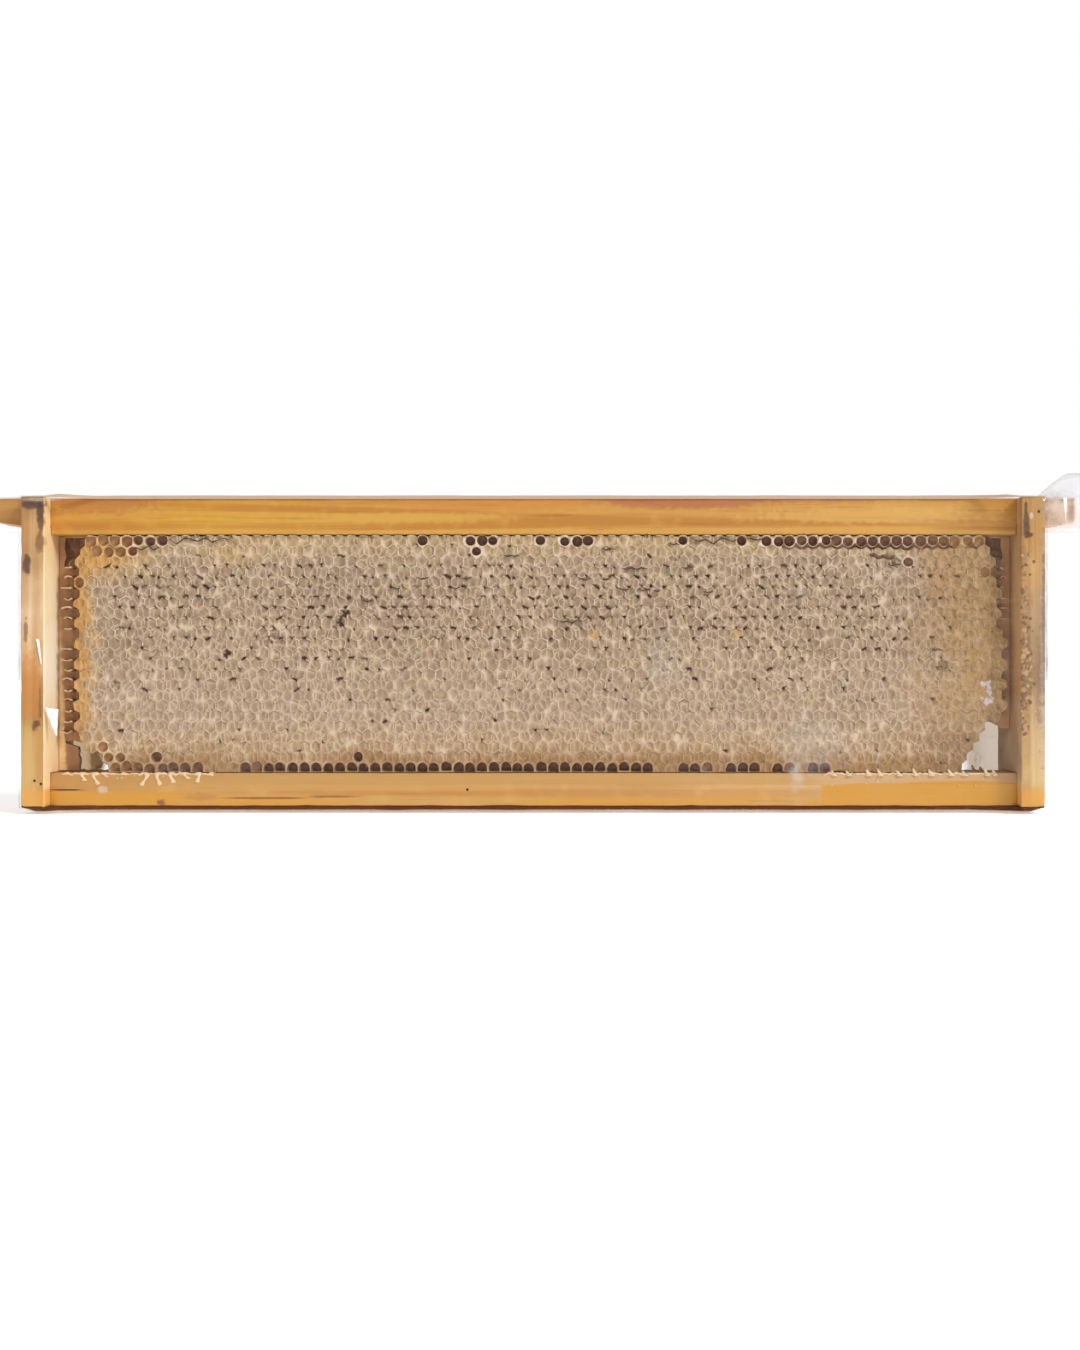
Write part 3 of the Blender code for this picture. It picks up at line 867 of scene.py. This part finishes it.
    # Thin webs of wax between the cells of the margin, from the cappings to the wood
    for row in range(2, ROWS - 2):
        for across in (-1, 1):
            z = first_row + (row + 0.5) * RISE
            edge = inner_face - (8.0 if across < 0 else 6.0) * MM
            capped_over = across > 0 and z < foot + 80 * MM
            if (dice.random() < 0.16 or capped_over
                    or is_missing(Vector((across * edge, 0, z)), side)):
                continue
            sag = dice.uniform(-0.9, 0.9) * MM
            thick = dice.uniform(0.2, 0.36) * MM
            tip = inner_face - dice.uniform(2.4, 4.6) * MM
            loops = []
            for i in range(8):
                share = i / 7
                x = across * (edge + (tip - edge) * share)
                level = z + sag * sin(pi * share) + 0.3 * MM * rough(x, 0, z, 4, seed + 9)
                out = (7.8 - 1.6 * smooth(share)) * MM
                loops.append([Vector((x, side * y, level + up)) for y, up in (
                    (out, thick), (out, -thick), (TROUGH - 0.2 * MM, -thick),
                    (TROUGH - 0.2 * MM, thick))])
            for ring in loft(body, loops):
                for i, point in enumerate(ring):
                    mark(point, *point.co.xz, gold=0.45, wall=1.0 if i < 2 else 0.0,
                         hollow=0.0 if i < 2 else 0.8, tone=0.5)

    face = finished(name, body)
    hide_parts("comb")
    return face


faces = [build_comb_face(name, side, seed)
         for name, side, seed in (("comb_front", -1, 3), ("comb_back", 1, 11))]
tree, shader = new_material("beeswax cappings", *faces)
wall, pit, hollow, gold, tone = [step(tree, "Attribute", attribute_name=key).outputs["Fac"]
                                 for key in ("wall", "pit", "hollow", "gold", "tone")]
fine = cloud(tree, stretched(tree, (1, 1, 0.8)), 760.0, detail=5.0)
broad = cloud(tree, stretched(tree), 55.0, detail=3.0)
blotch = cloud(tree, stretched(tree, (1, 1, 0.6)), 300.0, detail=2.0, distortion=0.4)
# A net of wrinkles, finer than the cells and drawn out upright
bend = step(tree, "TexNoise", {"Vector": stretched(tree), "Scale": 330.0,
                               "Detail": 1.0}).outputs["Color"]
bent = step(tree, "VectorMath", {0: bend, 1: (1.5 * MM, 0.0, 1.7 * MM),
                                 2: stretched(tree)}, operation="MULTIPLY_ADD")
parts = step(tree, "SeparateXYZ", {0: bent.outputs[0]})
flat = step(tree, "CombineXYZ", {0: parts.outputs[0],
                                 1: times(tree, parts.outputs[2], 0.66)}).outputs[0]
net = step(tree, "TexVoronoi", {"Vector": flat, "Scale": 330.0},
           voronoi_dimensions="2D", feature="DISTANCE_TO_EDGE").outputs["Distance"]
blob = step(tree, "TexVoronoi", {"Vector": flat, "Scale": 330.0},
            voronoi_dimensions="2D", feature="F1").outputs["Distance"]
blob = swayed(tree, blob, fine, 0.35)
level = place_along(tree, 2)
along_comb = place_along(tree, 0)
lower = rise(tree, level, 78.0, 44.0)
ridge = rise(tree, net, 0.19, 0.02)
ridge_kept = rise(tree, cloud(tree, stretched(tree), 190.0), 0.64, 0.46)
ridge = times(tree, ridge, times(tree, ridge_kept, 0.4))
ridge = larger(tree, ridge, rise(tree, blob, 0.46, 0.90, 0.7))
wall_line = rise(tree, swayed(tree, wall, fine, 1.1), 0.46, 1.0)
wall_kept = rise(tree, cloud(tree, stretched(tree, (1, 1, 0.7)), 230.0, detail=2.0), 0.32, 0.56)
wall_kept = times(tree, scaled(tree, wall_kept, 0.6, 0.4),
                 scaled(tree, lower, -0.25, 1.0))
line = larger(tree, times(tree, wall_line, wall_kept), ridge)
plain = mixed(tree, rise(tree, broad, 0.36, 0.64), (164, 137, 111), (178, 151, 123))
thin_wax = cloud(tree, stretched(tree), 170.0, detail=2.0)
# Golden brown, where the cappings along the bottom and on the right lie on honey
ragged = swayed(tree, level, broad, 16.0)
soaked = rise(tree, ragged, 28.5, 17.5, 0.95)
yellowed = rise(tree, ragged, 40.0, 26.0, 0.65)
ragged = swayed(tree, along_comb, broad, 60.0)
soaked_right = rise(tree, ragged, 154.0, 198.0, 0.75)
from_middle = sums(tree, "ABSOLUTE", sums(tree, "ADD", ragged, 8.0))
corners = times(tree, rise(tree, from_middle, 160.0, 195.0),
               rise(tree, level, 46.0, 26.0, 0.85))
corner_brown = mixed(tree, rise(tree, along_comb, -1.0, 1.0), (170, 126, 68), (142, 106, 62))
# Darker middles of the wrinkles: painted shade in their dips.
shaded_middles = times(tree, rise(tree, blob, 0.46, 0.10), rise(tree, blotch, 0.32, 0.66, 0.6))
plain = coated(
    tree, plain, (rise(tree, tone, 0.1, 0.95, 0.45), (150, 123, 98)),
    (rise(tree, thin_wax, 0.52, 0.66, 0.45), (170, 152, 108)),
    (rise(tree, level, 106.0, 117.0, 0.5), (200, 173, 126)),
    (rise(tree, gold, 0.02, 0.4, 0.8), (186, 154, 108)),
    (rise(tree, gold, 0.35, 0.95), (206, 152, 80)),
    (yellowed, (180, 147, 98)), (soaked, (160, 120, 74)), (soaked_right, (184, 142, 88)),
    (corners, corner_brown), (shaded_middles, (128, 100, 74)))
crest = mixed(tree, rise(tree, gold, 0.2, 0.9), (234, 210, 184), (224, 182, 120))
any_soaked = larger(tree, soaked, soaked_right)
pale = times(tree, line, scaled(tree, any_soaked, -0.66, 0.9))
dry_lower = times(tree, lower, scaled(tree, any_soaked, -0.14, 0.12))
# Soft brown where a capping's upper side is painted shaded.
soft_shade = times(tree, rise(tree, pit, 0.05, 0.34, 0.7), rise(tree, fine, 0.35, 0.6))
near_ends = rise(tree, sums(tree, "ABSOLUTE", along_comb), 158.0, 192.0, 0.8)
inside_cell = mixed(tree, near_ends, (140, 104, 84), (176, 128, 76))
margin = rise(tree, sums(tree, "ABSOLUTE", along_comb), 198.0, 204.0)
deep = times(tree, margin, rise(tree, hollow, 0.3, 0.8))
# Where the margin hollows reach up under the top bar they are darker still: painted shade.
colour = coated(
    tree, plain, (pale, crest), (dry_lower, (228, 204, 180)), (soft_shade, (112, 84, 60)),
    (rise(tree, hollow, 0.12, 0.5), inside_cell), (deep, (180, 134, 94)),
    (times(tree, deep, rise(tree, level, 104.0, 110.0)), (136, 104, 86)),
    (rise(tree, pit, 0.34, 0.64), (78, 54, 38)))
# Painted pale spots by the right end bar, standing for light seen through small holes in the wax,
# and one brown spot: painted light
colour = stained(tree, colour, -8, 12, (
    ((201.8, 50.8), (2.0, 6.4), (226, 220, 222), 0.9, 0.7),
    ((201.2, 46.6), (5.0, 3.0), (232, 222, 222), 0.9, 0.8),
    ((199.8, 54.2), (4.0, 2.2), (226, 218, 218), 0.9, 0.8),
    ((181.0, 62.0), (5.0, 4.4), (120, 92, 60), 0.6, 0.4)))
height = scaled(tree, blob, 1.2, times(tree, line, 0.6))
wrinkles = step(tree, "Bump", {"Height": height, "Strength": 0.8, "Distance": 0.5 * MM})
feed(shader, {"Base Color": colour, "Roughness": scaled(tree, fine, 0.3, 0.36),
              "Specular IOR Level": 0.35, "Normal": wrinkles.outputs[0]})

# The wax floor of the open margins, carried on to the end bars
def margin_width(side, level):
    """How far the wax floor reaches in from an end bar, in mm."""
    if side < 0:
        return 2.9 + 6.4 * smooth((28 - level) / 3)
    if level < 41:
        return 10.0 * smooth((level - 32) / 6)
    return 3.9 if level > 60 else 2.4


body = bmesh.new()
for side, start, end in ((-1, 15.2, 119.5), (1, 34.0, 119.5)):
    loops = []
    for i in range(61):
        level = start + (end - start) * i / 60
        z = foot + level * MM
        wide = margin_width(side, level) + 1.1 * rough(side, 0, z, 3.4, 91)
        inner = inner_face - wide * MM
        thick = TROUGH + 0.05 * MM
        loops.append([Vector((side * x, y, z)) for x, y in (
            (inner, -thick), (comb_high.x, -thick), (comb_high.x, thick), (inner, thick))])
    loft(body, loops)
margin_floor = finished("comb_margins", body)
margin_floor.data.shade_flat()
tree, shader = new_material("margin wax", margin_floor)
floor_grain = cloud(tree, stretched(tree), 260.0, detail=4.0)
# The left floor runs from near white low down, painted light, to brown at the top, painted shade
# under the top bar.
left_floor = shades_along(tree, 2, 20, 110, (
    (28, (252, 216, 160)), (58, (248, 204, 146)), (80, (226, 180, 124)), (106, (170, 128, 92))))
lean = scaled(tree, place_along(tree, 2), 0.04, place_along(tree, 0))
lean = scaled(tree, floor_grain, 2.0, lean)
left_floor = mixed(tree, rise(tree, lean, -209.2, -207.2), left_floor, (176, 130, 90))
floor_colour = coated(
    tree, left_floor, (rise(tree, place_along(tree, 0), -1.0, 1.0), (190, 140, 92)),
    (rise(tree, floor_grain, 0.45, 0.7, 0.3), (140, 100, 68)))
feed(shader, {"Base Color": floor_colour, "Roughness": 0.45})

# Hairline cracks in the cappings, dark with honey
body = bmesh.new()
dice = random.Random(9)
for start, end, level, swing in HAIRLINES:
    turns = max(int((end - start) / (0.8 + 1.6 * swing)), 2)
    corners = []
    for i in range(turns + 1):
        x = (start + (end - start) * (i + dice.uniform(-0.25, 0.25)) / turns) * MM
        z = foot + (level + swing * (-1) ** i * dice.uniform(0.2, 1.0)) * MM
        corners.append(Vector((x, 0, z)))
    loops = []
    path = [here.lerp(there, part / 4) for here, there in zip(corners, corners[1:])
            for part in range(4)] + [corners[-1]]
    for i, p in enumerate(path):
        x, z = p.x, min(p.z, comb_high.z - 0.4 * MM)
        out = min(comb_surface(x, z, 3) + 0.9 * MM, comb_half + 0.2 * MM)
        half = (0.10 + 0.20 * sin(pi * (i + 0.5) / (len(path) + 0.5))) * MM
        half *= 1 + 0.6 * rough(x, 0, z, 2.0, 92)
        loops.append([Vector((x, -out, z - half)), Vector((x, -out - 0.04 * MM, z)),
                      Vector((x, -out, z + half)), Vector((x, -out + 0.8 * MM, z))])
    loft(body, loops)
hairlines = finished("comb_hairline_cracks", body)
tree, shader = new_material("dark crack", hairlines)
dark_grain = cloud(tree, stretched(tree), 900.0)
feed(shader, {"Base Color": mixed(tree, dark_grain, (58, 36, 24), (96, 66, 44)),
              "Roughness": 0.6})


# Wax scraps -----------------------------------------------------------------
# Where the comb met the bottom bar the bees ran thin walls of wax down the
# planed slope. They are broken off there in pale drips, ridges and crumbs.
SLOPE_FOOT = 9.6               # level in mm where the bottom bar's slope begins
SLOPE_TOP = 14.5
SLOPE_INSET = 1.2


def slope_out(level):
    """From the middle of the frame to the bottom bar's face, in mm."""
    share = within((level - SLOPE_FOOT) / (SLOPE_TOP - SLOPE_FOOT), 0.0, 1.0)
    return stick_high.y / MM - SLOPE_INSET * share


def bead(body, side, path, seed, proud=0.55):
    """A pale run of wax on the bar's face. The path: x, level and width in mm."""
    loops = []
    for x, level, width in path:
        width *= 1 + 0.35 * rough(x * MM, 0, level * MM, 1.6, seed)
        ahead = Vector((1, 0)) if abs(path[-1][0] - path[0][0]) > 4 else Vector((0, 1))
        loop = []
        for i in range(8):
            turn = 2 * pi * i / 8
            across = width / 2 * cos(turn)
            out = slope_out(level) + proud * width * max(sin(turn), -0.25)
            dx, dz = (0.0, across) if ahead.x else (across, 0.0)
            loop.append(Vector(((x + dx) * MM, side * out * MM, foot + (level + dz) * MM)))
        loops.append(loop)
    loft(body, loops)


body = bmesh.new()
dice = random.Random(5)
for side in (-1, 1):
    for x, end in ((-199.2, 10.6), (-194.0, 9.0), (-189.8, 12.4), (-171.8, 8.6), (-166.0, 8.8),
                   (-160.2, 9.8), (-154.2, 11.6), (-148.6, 10.0), (-142.0, 12.8)):
        lean = dice.uniform(-1.0, 1.0)
        curl = dice.uniform(0.4, 1.0) * dice.choice((-1, 1))
        bead(body, side, [(x + lean * i / 8 + curl * sin(1.7 * pi * i / 8),
                           SLOPE_TOP + 0.4 + (end - SLOPE_TOP) * i / 8,
                           3.0 - 1.5 * sin(pi * i / 8) - (1.8 if i == 8 else 0.0))
                          for i in range(9)], 71, proud=0.25)
    for x in (132.4, 138.9, 147.6, 152.8, 161.2, 168.4, 175.4, 184.0, 190.3, 200.0, 203.6):
        high = dice.uniform(15.3, 16.8)
        bead(body, side, [(x + 1.4 * (i - 2) / 4, high - (high - 13.2) * i / 4, 0.7 + 0.6 * i)
                          for i in range(5)], 72, proud=0.35)
    for start, end, width in ((-209, -142, 0.9), (128, 205, 0.9)):
        count = int((end - start) / 0.8)
        bead(body, side, [(start + (end - start) * i / count,
                           14.2 + 0.9 * rough((start + i) * MM, 0, 0, 2.2, 73),
                           width * max(1 + 1.5 * rough((start + i) * MM, 0, 0, 3.1, 76), 0.15))
                          for i in range(count + 1)], 74, proud=0.4)
    for _ in range(26):
        x = dice.choice((dice.uniform(-203, -140), dice.uniform(128, 203)))
        level = dice.uniform(9.0, 14.0)
        bead(body, side, [(x, level + 0.22 * i, 0.7 * sin(pi * (i + 0.6) / 4.2))
                          for i in range(4)], 75)
scraps = finished("wax_scraps", body)
tree, shader = new_material("pale wax", scraps)
grains = cloud(tree, stretched(tree), 900.0, detail=3.0)
feed(shader, {"Base Color": mixed(tree, grains, (216, 176, 120), (246, 226, 192)),
              "Roughness": scaled(tree, grains, 0.3, 0.3)})


# Honey ----------------------------------------------------------------------
# Dark honey that leaked out and lies in the film below the bars, drawn a little way up their
# lower edges. Its dark band along the foot also stands for the shadow there: painted shadow.
def honey_half(x):
    """From the middle of the frame to the front of the pool."""
    wide = smooth((abs(x) - inner_face + 1.5 * MM) / (1.5 * MM))
    return (stick_high.y + 0.1 * MM) * (1 - wide) + (end_high.y + 0.1 * MM) * wide


body = bmesh.new()
loops = []
HONEY_SLICES = 220
for i in range(HONEY_SLICES + 1):
    x = (end_high.x - 0.6 * MM) * (2 * i / HONEY_SLICES - 1)
    half = honey_half(x)
    wave = 0.50 * rough(x, 0, 0, 17, 81) + 0.20 * rough(x, 0, 0, 5, 82)
    top = foot + (0.22 + max(wave, -0.35)) * MM
    low = foot - (2.0 + 0.7 * rough(x, 0, 0, 25, 83)) * MM * smooth(
        (end_high.x - abs(x) + 0.4 * MM) / (9 * MM)) - 0.25 * MM
    under = foot - 0.03 * MM
    profile = ((half - 1.6 * MM, low), (half - 0.5 * MM, low + 0.35 * MM),
               (half + 0.02 * MM, low + 1.0 * MM), (half + 0.10 * MM, foot - 0.1 * MM),
               (half + 0.03 * MM, top), (half - 0.2 * MM, under))
    loops.append([Vector((x, -y, z)) for y, z in profile]
                 + [Vector((x, y, z)) for y, z in reversed(profile)])
loft(body, loops)
honey = finished("leaked_honey_and_shadow", body)
tree, shader = new_material("dark honey", honey)
depth = cloud(tree, stretched(tree, (1, 1, 3)), 60.0, detail=3.0)
feed(shader, {"Base Color": mixed(tree, depth, (72, 32, 4), (106, 54, 12)),
              "Roughness": 0.3, "Specular IOR Level": 0.2})


# Film -----------------------------------------------------------------------
# Clear stretch film wound round the whole frame. It hangs tight on the edges of
# the end bars, clings to the long bars between them, and is gathered round the
# lugs, with a loose fin left standing on the right one.
FILM_SIDES = (40, 14, 40, 14)  # points up the front, over the top, down the back, below
FILM_SLICES = 160              # from one end bar to the other
FILM_OFF_BAR = 0.75 * MM
CLING_RUN = 24 * MM            # from where it leaves an end bar to where it clings
LIFT_RUN = 11 * MM             # from where it touches the table to an end
FIN_HEIGHT = 12.0 * MM
FIN_REACH = 8.7 * MM           # past the end of the lug
FIN_WIDTH = 8 * MM
wrap_low, wrap_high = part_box("film_wrap")
lug_low, lug_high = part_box("film_lug_right")


def film_loop(x, half, low, high, soften=1.2 * MM):
    """A rounded loop of film across the frame, and which way is out at each point."""
    corners = ((-half, low), (-half, high), (half, high), (half, low))
    loop = []
    for i, count in enumerate(FILM_SIDES):
        (y0, z0), (y1, z1) = corners[i], corners[(i + 1) % 4]
        for part in range(count):
            y = y0 + (y1 - y0) * part / count
            z = z0 + (z1 - z0) * part / count
            near = Vector((0, within(y, -half + soften, half - soften),
                           within(z, low + soften, high - soften)))
            out = (Vector((0, y, z)) - near).normalized()
            point = near + out * soften
            point.x = x
            loop.append((point, out))
    return loop


def film_half_depth(x):
    """From the middle of the frame to the film: deep at the end bars, then clinging."""
    inward = inner_face - abs(x)
    cling = bar_high.y + FILM_OFF_BAR
    return cling + (wrap_high.y - cling) * (1 - smooth((inward + 0.5 * MM) / CLING_RUN))


def film_bottom(x):
    """The film hangs below the bars and is drawn up to the feet at both ends."""
    return 0.05 * MM + (foot - 0.7 * MM) * (1 - smooth((wrap_high.x - abs(x)) / LIFT_RUN))


body = bmesh.new()
loops = []
for i in range(FILM_SLICES + 1):
    x = wrap_low.x + (wrap_high.x - wrap_low.x) * i / FILM_SLICES
    inward = smooth((inner_face - abs(x)) / (6 * MM))
    top = wrap_high.z + (0.8 * inward - 0.15) * MM
    loop = film_loop(x, film_half_depth(x), film_bottom(x), top)
    row = []
    for point, out in loop:
        x0, y0, z0 = point
        pucker = rough(x0 * 0.25, y0, z0, 7, 61) * (1 - smooth((inner_face - abs(x)) / 0.05))
        shift = 0.12 * MM * rough(x0, y0, z0, 12, 62) + 0.35 * MM * pucker * inward
        point += out * min(shift, 0.2 * MM)
        point.z = max(point.z, wrap_low.z)
        row.append(point)
    loops.append(row)


def film_end(side):
    """Loops from the outside of an end bar to the tip of its lug."""
    rows = []
    x = side * wrap_high.x
    bottom = film_bottom(x)
    for i in range(1, 13):
        share = i / 12
        half = wrap_high.y + (lug_high.y - wrap_high.y) * share
        low = bottom + (lug_low.z - bottom) * share
        row = []
        for point, out in film_loop(x, half, low, wrap_high.z - 0.15 * MM):
            fold = abs(rough(point.y, 0, point.z, 9, 63)) * sin(pi * share)
            point.x += side * (0.15 * MM + 1.0 * MM * fold)
            row.append(point)
        rows.append(row)
    for i in range(1, 11):
        share = i / 10
        shut = 1 - smooth((share - 0.88) / 0.12)
        half = (lug_high.y - 0.1 * MM) * (0.3 + 0.7 * shut)
        reach = lug_high.x + (FIN_REACH if side > 0 else 1.8 * MM) * share
        x = side * (wrap_high.x + (reach - wrap_high.x) * share)
        fin = FIN_HEIGHT * min(share * 1.5, 1.0) if side > 0 else 0.5 * MM * share
        row = []
        for point, out in film_loop(x, half, lug_low.z, lug_high.z - 0.1 * MM):
            crest = max(1 - abs(point.y) / FIN_WIDTH, 0.0) ** 2 if out.z > 0.5 else 0.0
            point.z += fin * crest
            point += out * 0.25 * MM * abs(rough(*point, 5, 64))
            row.append(point)
        rows.append(row)
    rows.append([Vector((p.x + side * 0.4 * MM, p.y * 0.12, p.z)) for p in rows[-1]])
    return rows


loft(body, film_end(-1)[::-1] + loops + film_end(1))
film = finished("film", body)
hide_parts("film_wrap", "film_lug_left", "film_lug_right")

tree, shader = new_material("stretch film", film)
cloudy = cloud(tree, stretched(tree, (18, 18, 30)), 1.0, detail=3.0, distortion=0.8)
tint = mixed(tree, cloudy, (226, 208, 200), (246, 236, 230))
crinkle = cloud(tree, stretched(tree, (60, 60, 130)), 1.0, detail=4.0, distortion=1.0)
facing = step(tree, "LayerWeight", {"Blend": 0.3}).outputs["Facing"]
edge_on = times(tree, sums(tree, "POWER", facing, 2.5), 0.5)
haze = scaled(tree, rise(tree, cloudy, 0.5, 0.7), 0.015, 0.006)
alpha = sums(tree, "ADD", edge_on, haze)
# Tinted patches on the film behind the open lower corners, that let light through and darken what
# shows through the gaps: painted shade. Centre and size in mm, shades
GAP_SHADE_PATCHES = (((-205, 17, 25), (27, 14, 34), (120, 90, 54)),
          ((202, 17, 24), (36, 10, 38), (134, 114, 96)))
# Where several layers lie together round the right lug and along the edges, and white patches of
# painted glare: centre and size in mm, shades, how dense and how soft at the rim
FOLDS_AND_GLARE = (((233, 0, 130), (26, 40, 18), (248, 224, 208), 0.74, 0.6),
         ((239.8, -9, 131), (4.2, 14, 22), (250, 240, 234), 0.8, 0.6),
         ((237.3, -9, 130.2), (2.8, 12, 8), (214, 170, 150), 0.55, 0.6),
         ((240, 0, 146), (30, 40, 20), (248, 246, 250), 0.2, 0.6),
         ((222.5, -18, 66), (2.6, 4, 110), (226, 216, 212), 0.3, 0.6),
         ((190, -13, 80), (52, 16, 96), (206, 176, 132), 0.16, 0.8),
         ((123, -11.3, 27), (28, 5, 22), (255, 255, 255), 0.12, 0.6),
         ((57, -11.3, 66), (18, 5, 30), (255, 255, 255), 0.09, 0.6),
         ((-190, -11.3, 7.4), (5, 5, 3.4), (255, 240, 214), 0.36, 0.4),
         ((-215, -18, 134.6), (17, 4, 2), (240, 214, 180), 0.5, 0.6))
milk = 0.0
for centre, size, shades, dense, soft in FOLDS_AND_GLARE:
    fold = patch(tree, centre, size, 0.3, soft, grain=160.0)
    tint = mixed(tree, fold, tint, shades)
    milk = larger(tree, milk, times(tree, fold, dense))
level = place_along(tree, 2)
facing_out = step(tree, "SeparateXYZ", {0: step(tree, "TexCoord").outputs["Normal"]}).outputs[1]
# Film bunched into a tan strip over the top of the top bar and along the bottom; the bottom strip
# also stands for the shadow under the frame: painted shadow.
over_bar = times(tree, rise(tree, level, 135.4, 135.8, 0.95), rise(
    tree, sums(tree, "ABSOLUTE", place_along(tree, 0)), 222.0, 216.0))
bunched_film_and_shadow = larger(tree, over_bar, rise(tree, level, -1.2, -1.9, 0.7))
bunched_film_and_shadow = times(tree, bunched_film_and_shadow, rise(tree, sums(tree, "ABSOLUTE", facing_out), 0.15, 0.5))
tint = mixed(tree, bunched_film_and_shadow, tint, (206, 172, 140))
milk = larger(tree, milk, bunched_film_and_shadow)
# Glare where the film is drawn tight: three corners, side and level in mm, clockwise
GLARE = (((-216.8, 73.6), (-215.4, 73.6), (-214.1, 60.6)),
         ((-212.8, 43.8), (-207.4, 42.9), (-208.2, 31.2)),
         ((233.6, 136.4), (235.6, 136.4), (235.0, 125.0)))
across = place_along(tree, 0)
glare = times(tree, patch(tree, (115.8, -11.3, 13.6), (5.4, 5, 11), 0.4, 0.8), 0.3)
for corners in GLARE:
    inside = rise(tree, place_along(tree, 1), -8.0, -9.0, 0.95)
    for (x, z), (next_x, next_z) in zip(corners, corners[1:] + corners[:1]):
        side = hypot(next_x - x, next_z - z)
        slope, drop = (next_z - z) / side, (next_x - x) / side
        far = scaled(tree, across, slope, -slope * x + drop * z)
        far = scaled(tree, level, -drop, far)
        inside = times(tree, inside, rise(tree, scaled(tree, crinkle, 1.0, far), 0.3, 0.6))
    glare = larger(tree, glare, inside)
milk = larger(tree, milk, glare)
tint = mixed(tree, glare, tint, (255, 255, 255))
gap_shaded = 0.0
off_bars = rise(tree, sums(tree, "ABSOLUTE", across), 214.4, 213.8)
for centre, size, shades in GAP_SHADE_PATCHES:
    gap_shade = times(tree, patch(tree, centre, size, 0.06, 0.2, grain=160.0), off_bars)
    tint = mixed(tree, gap_shade, tint, shades)
    gap_shaded = larger(tree, gap_shaded, gap_shade)
solid = larger(tree, milk, gap_shaded)
wrinkles = step(tree, "Bump", {"Height": crinkle, "Strength": 0.35, "Distance": 0.8 * MM})
feed(shader, {"Base Color": tint, "Alpha": larger(tree, alpha, solid),
              "Metallic": sums(tree, "SUBTRACT", 1.0, times(tree, solid, 1.3)),
              "Transmission Weight": gap_shaded, "Roughness": 0.14,
              "Normal": wrinkles.outputs[0]})


# Sizes ----------------------------------------------------------------------
low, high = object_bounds()
